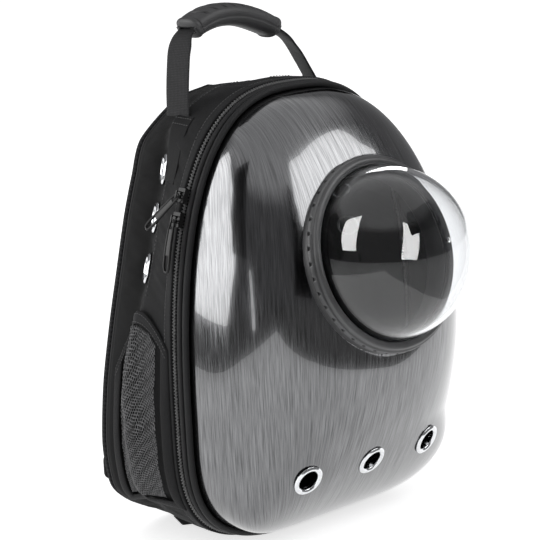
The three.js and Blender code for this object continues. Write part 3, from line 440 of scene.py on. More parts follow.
binding_cloth = cloth_finish("binding_cloth", (0.006, 0.006, 0.0065), (0.030, 0.030, 0.031), 0.8, 0.15,
                             rough=0.5)
tape_cloth = cloth_finish("zip_tape_cloth", (0.006, 0.006, 0.0065), (0.034, 0.034, 0.035), 0.8, 0.15,
                          rough=0.55)
edge_binding = rim_band("edge_binding", oval(3.5, 1.1, 3.1, 2.9, 20))
settle(edge_binding, binding_cloth, "carrier", "tape", "shell_edge_binding")
tape_piece = rim_band("zip_tape_band", oval(4.7, 7.6, 2.4, 2.6, 20, 0.9))
settle(tape_piece, tape_cloth, "carrier", "tape", "zip_tape")
coil_columns, teeth, coil_out, coil_back = 3200, 400, 6.0, 13.3
x, z, nx, nz = rim_line(coil_columns)
phase = np.arange(coil_columns) / coil_columns * teeth * 2 * np.pi
around_coil = np.linspace(0, 2 * np.pi, 10, endpoint=False)
swell = 1.5 + 0.75 * np.cos(phase[None] - around_coil[:, None] * 0.5)
out = coil_out + swell * np.cos(around_coil)[:, None]
coil_y = rim_plane + coil_back + swell * np.sin(around_coil)[:, None]
coil_points = np.stack([x + nx * out, coil_y, z + nz * out], -1)
coil_plastic = mottled("coil_nylon", 160.0, 3.0, (0.03, 0.03, 0.03), (0.13, 0.13, 0.13), Roughness=0.34,
                       Specular_IOR_Level=0.6)
coil_piece = grid_piece("zip_coil_turns", coil_points, around=True, along=True, turned=True)
settle(coil_piece, coil_plastic, "carrier", "coil", "zip_coil")


# ---- Soft body: black polyester sewn into a deep tray. It runs back from the zip to a ridge, folds
# into a shallow valley behind it, and comes out again to a piped back edge.
outline = np.array([
    # rim angle, ridge x, ridge z, back x, back z, depth of the fold
    (-90, 0, 0, 0, 0, 0), (-77, 0.392, 0, 0.366, 0, 0), (-55, 0.706, 0.035, 0.64, 0.031, 0.2),
    (-34, 0.889, 0.09, 0.83, 0.064, 0.6), (-18.4, 0.98, 0.149, 0.96, 0.113, 1), (-2.4, 1, 0.25, 1, 0.212, 1),
    (3.2, 1, 0.373, 0.962, 0.349, 1), (12, 0.98, 0.51, 0.885, 0.481, 1),
    (21.5, 0.869, 0.627, 0.802, 0.601, 1),
    (31.5, 0.784, 0.731, 0.716, 0.721, 1), (43.3, 0.693, 0.837, 0.64, 0.805, 1),
    (59, 0.621, 0.9375, 0.55, 0.885, 0.8), (78.5, 0.3, 0.995, 0.261, 0.9615, 0.2), (90, 0, 1, 0, 0.983, 0)])
body_half, body_high, body_front = 153.0, 415.0, 15.8
ridge_back, valley_back, rear_back, fold_depth = 61.0, 84.0, 115.0, 11.0


def spline(table, share, tension=0.4):
    """Catmull-Rom curve through the rows of a table; share counts rows, and the ends run straight on."""
    table = np.asarray(table, float)
    longer = np.vstack([2 * table[0] - table[1], table, 2 * table[-1] - table[-2]])
    row = np.clip(np.floor(share).astype(int), 0, len(table) - 2)
    t = (share - row)[..., None]
    before, start, end, after = (longer[row + k] for k in range(4))
    leave, arrive = tension * (end - before), tension * (after - start)
    return (start + leave * t + (3 * (end - start) - 2 * leave - arrive) * t ** 2
            + (2 * (start - end) + leave + arrive) * t ** 3)


def body_at(row, back, round_off=3.0):
    """Right side of the body at an outline row and a distance back from the rim: straight between the
    zip, ridge, valley and back edge, averaged over a few mm so that the folds are round."""
    row, back = np.broadcast_arrays(np.asarray(row, float), np.asarray(back, float))
    ridge, rear = spline(outline[:, 1:3], row), spline(outline[:, 3:5], row)
    size = np.array([body_half, body_high])
    ridge, rear = ridge * size, rear * size
    count = np.arange(len(outline))
    front = np.stack(rim_at(np.radians(np.interp(row, count, outline[:, 0])), 8.0), -1)
    front[..., 1] = np.maximum(front[..., 1], 0)
    valley = ridge + (rear - ridge) * (23 / 54)
    valley[..., 0] -= np.interp(row, count, outline[:, 5]) * fold_depth
    total = np.zeros(row.shape + (2,))
    shifts = np.linspace(-round_off, round_off, 5)
    for shift in shifts:
        at = np.clip(back + shift, body_front, rear_back)[..., None]
        to_ridge = front + (ridge - front) * (at - body_front) / (ridge_back - body_front)
        to_valley = ridge + (valley - ridge) * (at - ridge_back) / (valley_back - ridge_back)
        to_rear = valley + (rear - valley) * (at - valley_back) / (rear_back - valley_back)
        total += np.where(at < ridge_back, to_ridge, np.where(at < valley_back, to_valley, to_rear))
    total /= len(shifts)
    return np.stack([total[..., 0], rim_plane + back, total[..., 1]], -1)


def body_out(row, back, out, side=1):
    """A point that far outside the body's surface, on the right (side 1) or left (side -1)."""
    up = body_at(row + 0.13, back) - body_at(row - 0.13, back)
    deep = body_at(row, np.minimum(back + 2, rear_back)) - body_at(row, np.maximum(back - 2, body_front))
    normal = np.cross(deep, up)
    normal /= np.maximum(np.linalg.norm(normal, axis=-1, keepdims=True), 1e-9)
    point = body_at(row, back) + normal * np.asarray(out)[..., None]
    return point * np.array([side, 1, 1])


def both_sides(half):
    """Rows of points up the right side, followed down the left side by their mirror image."""
    half = half.copy()
    half[..., [0, -1], 0] = 0
    return np.concatenate([half, (half * np.array([-1, 1, 1]))[..., -2:0:-1, :]], -2)


body_half_columns = 270
body_rows = np.linspace(0, 13, body_half_columns + 1)
backs = np.concatenate([np.linspace(body_front, ridge_back, 17), np.linspace(ridge_back, valley_back, 10)[1:],
                        np.linspace(valley_back, rear_back, 12)[1:]])
row, back = np.meshgrid(body_rows, backs)
free = 1 - ease(row, 2.6, 3.3) * (1 - ease(row, 7.0, 7.8))
puff = (1.1 * np.sin(np.pi * (back - body_front) / (ridge_back - body_front)) * (back < ridge_back)
        + 0.8 * np.sin(np.pi * np.clip((back - valley_back) / (rear_back - valley_back), 0, 1)))
crease = (0.5 * np.sin(row * 5.1 + back * 0.11) + 0.4 * np.sin(row * 9.7 - back * 0.19 + 1.3)
          + 0.3 * np.sin(row * 17.0 + back * 0.07 + 0.6) + 0.25 * np.sin(row * 29.0 - back * 0.33))
edge_fade = ease(back, body_front, body_front + 8) * (1 - ease(back, rear_back - 8, rear_back))
bottom_fade = ease(row, 1.0, 3.0)
out = (puff + crease * 0.8) * (0.25 + 0.75 * free) * edge_fade * bottom_fade * (1 - ease(row, 12.6, 13) * 0.8)
body_points = both_sides(body_out(row, back, out))
rear_loop = body_points[-1]
middle = np.array([0.0, rear_loop[0, 1], 205.0])
inward = np.array([0.985, 0.93, 0.8, 0.55, 0.25])[:, None, None]
body_points = np.concatenate([body_points, middle + (rear_loop - middle) * inward + np.array([0, 0.4, 0])])
body_points[..., 2] = np.maximum(body_points[..., 2], 0.0)
body_keep = np.ones((len(body_points) - 1, body_points.shape[1]), bool)
side_eyelets, eyelet_back, eyelet_lift = [], 71.0, 1.2
for side, side_name in ((1, "right"), (-1, "left")):
    for eyelet_row, level_name in ((8, "low"), (9, "middle"), (10, "high")):
        at, above = (body_out(np.array(float(eyelet_row)), np.array(eyelet_back), np.array(lift), side)
                     for lift in (0.0, 1.0))
        out = above - at
        side_eyelets.append((f"side_eyelet_{side_name}_{level_name}", at + out * eyelet_lift, out))
        away = body_points - at
        rise = away @ out
        far = np.linalg.norm(away - rise[..., None] * out, axis=2)
        pull = (1 - ease(far, 15.5, 23)) * (np.abs(rise) < 20)
        body_points -= (rise * pull)[..., None] * out
        bore(body_points, body_keep, at, out, eyelet_hole)
body_cloth = cloth_finish("body_polyester", (0.0045, 0.0045, 0.0048), (0.021, 0.021, 0.022), 0.9, 0.18,
                          rough=0.78)
tree = body_cloth.node_tree
# Painted shade: a ramp on the UV's V, counted along the cloth back from the zip, multiplies the cloth's
# colour darker from about 62 mm back. It is darkest just behind the ridge, where the valley lies in shade,
# and less dark towards the back edge.
painted_shade_depth = add_node(tree, "ShaderNodeSeparateXYZ")
valley_painted_shade = colour_ramp(tree, (1, 1, 1), (0.16, 0.16, 0.16), 0.058, 0.062)
for spot, tone in ((0.078, 0.22), (0.105, 0.7)):
    valley_painted_shade.color_ramp.elements.new(spot).color = (tone, tone, tone, 1)
apply_painted_shade = add_node(tree, "ShaderNodeMix", data_type="RGBA", blend_type="MULTIPLY")
apply_painted_shade.inputs["Factor"].default_value = 1.0
place = next(n for n in tree.nodes if n.type == "TEX_COORD")
dye = next(n for n in tree.nodes if n.type == "VALTORGB" and n != valley_painted_shade)
wire(tree, (place, "UV", painted_shade_depth, "Vector"), (painted_shade_depth, "Y", valley_painted_shade, "Fac"), (dye, "Color", apply_painted_shade, "A"),
     (valley_painted_shade, "Color", apply_painted_shade, "B"), (apply_painted_shade, "Result", tree.nodes["Principled BSDF"], "Base Color"))
body_piece = grid_piece("soft_body", body_points, around=True, turned=True, keep=body_keep)
wall(body_piece, 2.0)
settle(body_piece, body_cloth, "carrier", "cloth", "fabric_body")


# ---- Zip flap: a folded strip of cloth along the front edge of the body, beside the coil, held by one
# row of stitches. A second row runs along the body's ridge.
def loop_on_body(section, columns=300):
    """A closed section of (back, out) points carried round the body's whole outline."""
    section = np.array(section, float)
    row, back = np.meshgrid(np.linspace(0, 13, columns + 1), section[:, 0])
    return both_sides(body_out(row, back, np.broadcast_to(section[:, 1:2], row.shape)))


flap_points = loop_on_body([(15.9, -0.2), (15.85, 0.5), (16.5, 0.95), (18.6, 1.0), (20.6, 0.95), (22.8, 1.0),
                            (24.4, 0.95), (24.9, 0.5), (25.0, -0.2)])
flap_cloth = cloth_finish("flap_cloth", (0.006, 0.006, 0.0065), (0.028, 0.028, 0.029), 0.8, 0.15, rough=0.7)
flap = grid_piece("zip_flap", flap_points, around=True, along=True, turned=True)
settle(flap, flap_cloth, "carrier", "cloth")


def stitch_line(name, line_at, pitch, long, thick, slot_name="cloth"):
    """A row of thread stitches: one short six-sided bar, rounded at its ends, is copied every pitch mm
    along a line. line_at(lift) gives the line lift mm further out, which says where outward is."""
    points = line_at(0.0)
    outs = line_at(1.0) - points
    length = np.concatenate([[0], np.cumsum(np.linalg.norm(np.diff(points, axis=0), axis=1))])
    at = np.arange(pitch / 2, length[-1], pitch)
    middle = np.stack([np.interp(at, length, points[:, k]) for k in range(3)], -1)
    ahead = np.stack([np.interp(at + 0.5, length, points[:, k]) for k in range(3)], -1) - middle
    ahead /= np.maximum(np.linalg.norm(ahead, axis=1, keepdims=True), 1e-9)
    out = np.stack([np.interp(at, length, outs[:, k]) for k in range(3)], -1)
    out -= (out * ahead).sum(1, keepdims=True) * ahead
    out = unit(out)
    side = np.cross(ahead, out)
    t = np.linspace(0, 2 * np.pi, 6, endpoint=False)
    rings = [(-0.5, 0.35), (-0.4, 0.85), (0, 1.0), (0.4, 0.85), (0.5, 0.35)]
    bar = np.array([(s * long, r * thick / 2 * math.cos(a), r * thick / 2 * math.sin(a))
                    for s, r in rings for a in t])
    base = [(6 * i + j, 6 * i + (j + 1) % 6, 6 * i + 6 + (j + 1) % 6, 6 * i + 6 + j)
            for i in range(4) for j in range(6)]
    ends = [tuple(range(5, -1, -1)), tuple(range(24, 30))]
    points = (middle[:, None] + bar[None, :, :1] * ahead[:, None] + bar[None, :, 1:2] * side[:, None]
              + bar[None, :, 2:] * out[:, None]).reshape(-1, 3)
    bar_faces = [face[::-1] for face in base + ends]
    faces = [tuple(v + 30 * n for v in face) for n in range(len(at)) for face in bar_faces]
    mesh = bpy.data.meshes.new(name)
    mesh.from_pydata((points / 1000).tolist(), [], faces)
    mesh.polygons.foreach_set("use_smooth", np.ones(len(mesh.polygons), bool))
    made = bpy.data.objects.new(name, mesh)
    bpy.context.scene.collection.objects.link(made)
    return settle(made, thread, "carrier", slot_name)


thread = mottled("thread", 900.0, 2.0, (0.02, 0.02, 0.02), (0.07, 0.07, 0.072), Roughness=0.6,
                 Sheen_Weight=0.2)


def body_seam(name, back, out, side, low_row, high_row, pitch=3.4, long=2.2, thick=0.7):
    """Stitches along the body's outline at one distance back, from one outline row to another."""
    row = np.linspace(low_row, high_row, 160)
    at_back = np.full_like(row, back)
    return stitch_line(name, lambda lift: body_out(row, at_back, np.full_like(row, out + lift), side),
                       pitch, long, thick)


for side, side_name in ((1, "right"), (-1, "left")):
    body_seam(f"flap_stitches_{side_name}", 23.3, 1.05, side, 0.3, 12.9)
    body_seam(f"ridge_stitches_{side_name}", ridge_back - 4.5, 1.2, side, 7.5, 12.6, pitch=3.8)


# ---- Back edge: a cord piping round the body's back, and the padded back panel behind it, foam under
# mesh cloth, sewn across in channels.
def back_loop(back, inset, columns=150):
    """The body's back edge moved inward by inset, at a distance back from the rim."""
    row = np.linspace(0, 13, columns + 1)
    loop = both_sides(body_at(row, np.full_like(row, rear_back)))
    ahead = np.roll(loop, -1, 0) - np.roll(loop, 1, 0)
    outward = np.stack([ahead[:, 2], 0 * ahead[:, 0], -ahead[:, 0]], -1)
    outward = unit(outward)
    loop = loop - outward * np.asarray(inset)
    loop[:, 1] = rim_plane + back
    return loop


piping_points = np.stack([back_loop(117.3 + 2 * math.sin(a), 2 - 2 * math.cos(a))
                          for a in np.linspace(0, 2 * np.pi, 14, endpoint=False)])
piping = grid_piece("back_cord_piping", piping_points, around=True, along=True, turned=True)
settle(piping, tape_cloth, "carrier", "tape", "back_piping")
panel_section = [(119.7, 0.6), (119.6, 0.2), (121.5, 0.0), (124.0, 0.4), (126.0, 1.4), (127.1, 3.4),
                 (127.6, 7.0)]
panel_loops = [back_loop(b, i) for b, i in panel_section]
panel_edge = panel_loops[-1]
panel_middle = np.array([0.0, panel_edge[0, 1], 195.0])
for share in np.linspace(0.96, 0.04, 40):
    ring = panel_middle + (panel_edge - panel_middle) * share
    dip = np.exp(-((ring[:, 2] % 58.0 - 29.0) / 3.2) ** 2) + np.exp(-((np.abs(ring[:, 0]) - 34.0) / 3.2) ** 2)
    ring[:, 1] -= 3.0 * np.minimum(dip, 1.0) * min(1.0, (1 - share) * 8)
    panel_loops.append(ring)
panel_loops.append(panel_middle + (panel_edge - panel_middle) * 0.001)
panel_under = back_loop(119.7, 0.6)
inner = np.array([0.0, panel_under[0, 1], 195.0])
panel_loops = [inner + (panel_under - inner) * s for s in (0.001, 0.5, 0.95)] + panel_loops
panel = grid_piece("back_pad", np.stack(panel_loops), around=True, turned=True)
air_mesh = cloth_finish("air_mesh", (0.004, 0.004, 0.0045), (0.03, 0.03, 0.032), 2.4, 0.8, rough=0.9)
settle(panel, air_mesh, "carrier", "padding", "back_panel")


# ---- Side pockets: a bag of open knitted mesh on each side, bound round its edge with folded tape,
# standing away from the body over the ridge.
pocket_front, pocket_rear, pocket_peak, pocket_border = 18.4, 108.0, 58.0, 0.12


def pocket_at(side, across, up, lift):
    """The pocket's face: outline rows rise from its foot to a mouth that drops away from the ridge, and
    the face bulges out most at the ridge and low on the bag."""
    back = pocket_front + (pocket_rear - pocket_front) * across
    from_peak = np.where(back < pocket_peak, (pocket_peak - back) / (pocket_peak - pocket_front),
                         (back - pocket_peak) / (pocket_rear - pocket_peak))
    drop = np.where(back < pocket_peak, 0.62, 1.0)
    row = 3.35 + (7.27 - drop * from_peak ** 1.9 - 3.35) * up
    full = np.sin(np.pi * np.minimum(up * 0.9, 0.5) ** 0.8)
    bulge = (16 - 13.5 * ease(up, 0.6, 1)) * np.maximum(1 - from_peak, 0) ** 0.8 * full
    return body_out(row, back, 0.9 + bulge + lift, side)


def pocket_edge(count):
    """The pocket's rectangle followed once round, as shares across and up, with its inner edge."""
    k = np.arange(4 * count) / count
    side, t = np.floor(k).astype(int), k % 1
    corners = np.array([(0, 0), (1, 0), (1, 1), (0, 1), (0, 0)], float)
    low, high = pocket_border - 0.02, 1 - pocket_border + 0.02
    inner = np.array([(low, low), (high, low), (high, 0.94), (low, 0.94), (low, low)])
    return [c[side] + (c[side + 1] - c[side]) * t[:, None] for c in (corners, inner)]


net_yarn = cloth_finish("net_yarn", (0.04, 0.04, 0.041), (0.26, 0.26, 0.264), 0.5, 0.15, rough=0.6)
pocket_tape = cloth_finish("pocket_tape", (0.005, 0.005, 0.0055), (0.023, 0.023, 0.024), 0.8, 0.2, rough=0.7)
for side, side_name in ((1, "right"), (-1, "left")):
    cells_up, cells_across = 58, 34
    up_line = np.linspace(0.15, 0.93, cells_up * 4 + 1)
    across_line = np.linspace(0.15, 0.85, cells_across * 4 + 1)
    across, up = np.meshgrid(across_line, up_line)
    i, j = np.meshgrid(np.arange(len(up_line)), np.arange(len(across_line)), indexing="ij")
    sway = 0.0016 * np.sin(i * 1.9 + j * 0.35) + 0.0028 * np.sin(j * 0.21 + i * 0.015)
    ruffle = 0.45 * np.sin(j * 2.1 + (i // 4) * 3.14) + 0.7 * np.sin(i * 0.12 + j * 0.06)
    fold = (2.6 * np.sin(across * 17 + 1.2 * np.sin(up * 4)) * np.sin(np.pi * np.clip(up, 0, 1))
            * np.sin(np.pi * across))
    net_points = pocket_at(side, across, np.clip(up + sway, 0, 1), 1.6 + ruffle * 0.6 + fold)
    cell_row, cell_col = np.meshgrid(np.arange(cells_up * 4), np.arange(cells_across * 4), indexing="ij")
    shift = (cell_row // 4) % 2
    hole = (cell_row % 4 != 0) & ((cell_col + 2 * shift) % 4 < 3)
    net = grid_piece(f"mesh_net_{side_name}", net_points, turned=(side > 0), keep=~hole)
    wall(net, 0.5, 0.0)
    settle(net, net_yarn, "carrier", "net", f"pocket_net_{side_name}")
    outer, inner = pocket_edge(60)
    share = [0.0, 0.08, 0.25, 0.5, 0.75, 0.92, 1.0, 0.9, 0.5, 0.1]
    lift = [0.2, 1.3, 1.95, 2.1, 1.95, 1.3, 0.3, 0.0, 0.0, 0.0]
    tape_points = np.stack([pocket_at(side, *(outer + (inner - outer) * s).T, l)
                            for s, l in zip(share, lift)])
    binding = grid_piece(f"pocket_tape_{side_name}", tape_points, around=True, along=True, turned=(side > 0))
    settle(binding, pocket_tape, "carrier", "cloth", f"pocket_binding_{side_name}")
    t = np.linspace(0.02, 0.98, 120)
    for mark, level in (("outer", 0.985), ("inner", 0.95)):
        stitch_line(f"mouth_stitches_{mark}_{side_name}",
                    lambda lift: pocket_at(side, t, np.full_like(t, level), 2.1 + lift), 3.2, 2.1, 0.6)


# ---- Bubble window: a moulded ring that turns in a seat glued to the shell, with thumb notches round
# its foot, and a clear blown dome about 3 mm thick held in it.
def turned_piece(name, profile, centre, axis, steps=240, closed=True, notch=None):
    """A (radius, height) profile in mm spun round an axis; a closed profile runs anticlockwise, inner
    foot first. notch(angle, radius, height) may change the radius."""
    axis = unit(np.asarray(axis, float))
    first = np.cross((0.0, 0.0, 1.0), axis) if abs(axis[2]) < 0.9 else np.cross((0.0, 1.0, 0.0), axis)
    first = unit(first)
    second = np.cross(axis, first)
    radius, high = np.array(profile, float).T
    angle = np.linspace(0, 2 * np.pi, steps, endpoint=False)
    radius = np.broadcast_to(radius[:, None], (len(radius), steps)).copy()
    high = np.broadcast_to(high[:, None], radius.shape).copy()
    if notch is not None:
        radius, high = notch(angle[None], radius, high)
    outward = first * np.cos(angle)[None, :, None] + second * np.sin(angle)[None, :, None]
    points = np.asarray(centre, float) + axis * high[..., None] + radius[..., None] * outward
    return grid_piece(name, points, around=True, along=closed)


def soften(profile, reach=0.8, steps=4, closed=True):
    """Each corner of a profile is replaced by a short curve that starts reach mm before it, or a third
    of the way along the shorter side."""
    profile = np.array(profile, float)
    made = []
    for k, corner in enumerate(profile):
        if not closed and k in (0, len(profile) - 1):
            made.append(corner)
            continue
        before, after = profile[k - 1] - corner, profile[(k + 1) % len(profile)] - corner
        cut = min(reach, np.linalg.norm(before) / 3, np.linalg.norm(after) / 3)
        a, b = (corner + d / np.linalg.norm(d) * cut for d in (before, after))
        made += [(1 - t) ** 2 * a + 2 * t * (1 - t) * corner + t * t * b for t in np.linspace(0, 1, steps)]
    return made


def moulded(name, dark, light, rough, grain, relief, specular=0.5, coat=0.0):
    """Moulded plastic or rubber: fine pebbled grain on Object coordinates, slightly cloudy colour, and
    lighter in colour where the surface turns sharply outward."""
    material, tree, shader = new_finish(name, Roughness=rough, Specular_IOR_Level=specular, Coat_Weight=coat,
                                        Coat_Roughness=0.15)
    place = add_node(tree, "ShaderNodeTexCoord")
    pebble = add_node(tree, "ShaderNodeTexNoise", Scale=grain, Detail=3.0)
    cloud = add_node(tree, "ShaderNodeTexNoise", Scale=30.0, Detail=4.0)
    turn_out = add_node(tree, "ShaderNodeNewGeometry")
    lighter_on_convex_edges = add_node(tree, "ShaderNodeMapRange", **{"From Min": 0.50, "From Max": 0.62, "To Max": 0.5})
    fac = add_node(tree, "ShaderNodeMath", operation="ADD")
    ramp = colour_ramp(tree, dark, light, 0.3)
    bump = add_node(tree, "ShaderNodeBump", Strength=0.5, Distance=relief / 1000)
    spread = add_node(tree, "ShaderNodeMapRange", **{"To Min": max(rough - 0.08, 0.02),
                                                     "To Max": rough + 0.1})
    for source in (pebble, cloud):
        wire(tree, (place, "Object", source, "Vector"))
    wire(tree, (turn_out, "Pointiness", lighter_on_convex_edges, "Value"), (lighter_on_convex_edges, "Result", fac, 0), (cloud, "Fac", fac, 1),
         (fac, "Value", ramp, "Fac"), (ramp, "Color", shader, "Base Color"),
         (pebble, "Fac", bump, "Height"), (bump, "Normal", shader, "Normal"),
         (cloud, "Fac", spread, "Value"), (spread, "Result", shader, "Roughness"))
    return material


notches, notch_radius = 42, 1.9


def notch_foot(angle, radius, high):
    """Half-round thumb notches: near the foot the outside moves in by a circle's depth at each of 42
    evenly spaced places."""
    pitch = 2 * np.pi / notches
    off = (np.mod(angle, pitch) - pitch / 2) * 89.0
    above = high + 3.1
    depth = np.sqrt(np.clip(1 - (off / notch_radius) ** 2 - (above / 3.4) ** 2, 0, 1))
    outside = ease(radius, 85.9, 87.0)
    return radius - 1.8 * depth * outside, high


ring_plastic = moulded("ring_plastic", (0.028, 0.028, 0.029), (0.085, 0.086, 0.088), 0.36, 1400.0, 0.05)
ring_profile = [(85.7, -3.1), (88.6, -3.1), (88.9, -2.6), (88.85, -1.8), (88.6, -1.0), (88.35, -0.2),
                (88.1, 0.5), (87.6, 0.95), (86.6, 1.25), (86.0, 1.7), (85.75, 2.6), (85.5, 3.6),
                (84.8, 4.35), (83.4, 4.85), (82.0, 5.0), (80.7, 4.75), (79.6, 4.1), (78.9, 3.3),
                (78.65, 2.6), (78.62, 0.3), (85.6, 0.05)]
ring = turned_piece("bubble_ring", ring_profile, window_at, window_axis, steps=notches * 20,
                    notch=notch_foot)
settle(ring, ring_plastic, "window", "ring", "window_ring")
seat_profile = soften([(74.8, -12), (76, -24), (85.0, -24), (85.2, -10.5), (87.9, -11.0), (87.9, -3.6),
                       (85.3, -3.45), (85.2, -0.45), (74.8, -0.45)], 0.7)
seat = turned_piece("bubble_seat", seat_profile, window_at, window_axis, steps=240)
seat_plastic = moulded("seat_plastic", (0.012, 0.012, 0.0125), (0.05, 0.05, 0.052), 0.4, 1400.0, 0.05)
settle(seat, seat_plastic, "carrier", "ring", "window_seat")
outer_arc = np.radians(np.linspace(0, 89.6, 64))
dome_radius, dome_wall = 78.15, 3.0
dome_outer = [(dome_radius * math.cos(a), dome_radius * math.sin(a)) for a in outer_arc]
inner_radius = dome_radius - dome_wall
dome_inner = [(inner_radius * math.cos(a), inner_radius * math.sin(a)) for a in outer_arc[::-1]]
dome = turned_piece("bubble_dome", dome_outer + dome_inner, window_at, window_axis, steps=256)
clear, tree, shader = new_finish("clear_acrylic", Base_Color=(0.93, 0.94, 0.95, 1), Roughness=0.0,
                                 Transmission_Weight=1.0, IOR=1.49, Specular_IOR_Level=0.3)
place = add_node(tree, "ShaderNodeTexCoord")
haze = add_node(tree, "ShaderNodeTexNoise", Scale=18.0, Detail=3.0)
smudge = add_node(tree, "ShaderNodeMapRange", **{"From Min": 0.45, "From Max": 0.8, "To Min": 0.0,
                                                 "To Max": 0.03})
wire(tree, (place, "Object", haze, "Vector"), (haze, "Fac", smudge, "Value"),
     (smudge, "Result", shader, "Roughness"))
settle(dome, clear, "window", "bubble", "window_dome")
for sheets, state, title in ((shell_windows, "EXCLUDE", "lit_by_shell_windows"),
                             (bubble_windows, "INCLUDE", "lit_by_bubble_windows")):
    lit = bpy.data.collections.new(title)
    lit.objects.link(dome)
    lit.collection_objects[0].light_linking.link_state = state
    for sheet in sheets:
        sheet.light_linking.receiver_collection = lit


# ---- Air eyelets: rolled and plated steel, three through the shell and three through each side, all
# spun from one profile.
chrome, tree, shader = new_finish("plated_steel", Base_Color=(0.72, 0.73, 0.75, 1), Metallic=1.0,
                                  Roughness=0.12)
place = add_node(tree, "ShaderNodeTexCoord")
scuff = add_node(tree, "ShaderNodeTexNoise", Scale=380.0, Detail=4.0)
polish = add_node(tree, "ShaderNodeMapRange", **{"To Min": 0.05, "To Max": 0.22})
tone = colour_ramp(tree, (0.55, 0.56, 0.58), (0.86, 0.87, 0.88))
wire(tree, (place, "Object", scuff, "Vector"), (scuff, "Fac", polish, "Value"),
     (polish, "Result", shader, "Roughness"), (scuff, "Fac", tone, "Fac"),
     (tone, "Color", shader, "Base Color"))
eyelet_profile = soften([(9.5, -4.0), (11.4, -4.0), (11.5, 0.1), (14.9, 0.1), (14.9, 0.9), (12.9, 2.35),
                         (11.4, 2.3), (9.7, 1.0)], 0.9, 5)
for name, at, out in front_eyelets + side_eyelets:
    eyelet = turned_piece(f"{name}_ring", eyelet_profile, at, out, steps=72)
    settle(eyelet, chrome, "carrier", "eyelet", name)


# ---- Eyelet discs: a small dished near-black disc, woven like fine mesh, inside each side eyelet, a dark sheet
# put where the cabin shows only shade, so that no light shows through the cabin.
shade_disc_black = cloth_finish("eyelet_shade_disc", (0.001, 0.001, 0.001), (0.008, 0.008, 0.008), 1.1, 0.3, rough=0.9)
for name, at, out in side_eyelets:
    disc_profile = [(9.4 * math.sin(a), -2.6 - 0.8 * math.cos(a)) for a in np.linspace(0.02, np.pi / 2, 10)]
    disc = turned_piece(f"{name}_mesh", disc_profile[::-1], at, out, steps=48, closed=False)
    wall(disc, 0.3, 0.0)
    settle(disc, shade_disc_black, "carrier", "net")


# ---- Carry handle: one length of ribbed webbing, sewn in at the body's upper corners, through a
# moulded rubber grip with slanted finger grooves.
handle_table = np.array([
    # share of the foot's distance from the middle, share of the rise
    (-1.01, 0), (-1, 0.25), (-0.975, 0.5), (-0.94, 0.7), (-0.85, 0.87), (-0.57, 0.99), (-0.26, 1),
    (0.05, 0.92), (0.36, 0.77), (0.58, 0.6), (0.76, 0.34), (0.9, 0.12), (1, 0)])
web_wide, web_thick, grip_long, grip_wide, grip_high, grip_middle = 31.0, 2.4, 108.0, 32.0, 21.0, 0.478
foot = spline(outline[:, 1:3], np.array(11.0)) * np.array([body_half, body_high])
foot_wide, foot_high, handle_rise = foot[0] - 6, foot[1] + web_thick + 0.6 + 0.6, 85.4
fine = spline(handle_table, np.linspace(0, len(handle_table) - 1, 2001), 0.5)
handle_line = np.stack([fine[:, 0] * foot_wide, np.full(2001, rim_plane + ridge_back),
                        foot_high + fine[:, 1] * handle_rise], -1)
handle_length = np.concatenate([[0], np.cumsum(np.linalg.norm(np.diff(handle_line, axis=0), axis=1))])
grip_half = grip_long / handle_length[-1] / 2


def handle_frame(share):
    """Middle, direction along, across and up at shares of the handle's length. Beyond the grip the
    strap turns by up to 17 degrees about its own line and back again before its foot."""
    share = np.asarray(share, float)
    at = share * handle_length[-1]
    middle = np.stack([np.interp(at, handle_length, handle_line[:, k]) for k in range(3)], -1)
    ahead = np.stack([np.interp(at + 1.5, handle_length, handle_line[:, k])
                      - np.interp(at - 1.5, handle_length, handle_line[:, k]) for k in range(3)], -1)
    ahead = unit(ahead)
    grip_end = grip_middle + grip_half
    turned_by = 17 * ease(share, grip_end, grip_end + grip_half / 2) * (1 - ease(share, 0.92, 1))
    twist = np.radians(turned_by)[..., None]
    level = np.array([0.0, 1.0, 0.0])
    across = level * np.cos(twist) + np.cross(ahead, level) * np.sin(twist)
    return middle, ahead, across, np.cross(ahead, across)


def strap(name, middle, across, up, half_wide, half_thick, ends=True):
    """Flat webbing with rounded edges along a line: half_wide and half_thick may change along it."""
    half_wide = np.broadcast_to(np.asarray(half_wide, float), (len(middle),))
    half_thick = np.broadcast_to(np.asarray(half_thick, float), (len(middle),))
    a = np.linspace(0, 2 * np.pi, 28, endpoint=False)
    wide, thick = squared(np.cos(a), 0.35), squared(np.sin(a), 0.7)
    points = (middle[:, None] + across[:, None] * (half_wide[:, None] * wide[None])[..., None]
              + up[:, None] * (half_thick[:, None] * thick[None])[..., None])
    if ends:
        points = np.concatenate([middle[:1, None] + (points[:1] - middle[:1, None]) * 0.02, points,
                                 middle[-1:, None] + (points[-1:] - middle[-1:, None]) * 0.02])
    return grid_piece(name, points, around=True)


web_cloth = cloth_finish("webbing", (0.006, 0.006, 0.0065), (0.034, 0.034, 0.036), 1.5, 0.4, rough=0.6,
                         ribs=(0.9, 1.0))
share = np.linspace(0.0, 1.0, 200)
middle, _, across, up = handle_frame(share)
in_grip = 1 - ease(np.abs(share - grip_middle), grip_half, grip_half * 1.35)
handle_strap = strap("handle_strap", middle, across, up, web_wide / 2 * (1 - 0.28 * in_grip), web_thick / 2)
settle(handle_strap, web_cloth, "carrier", "webbing", "handle_webbing")

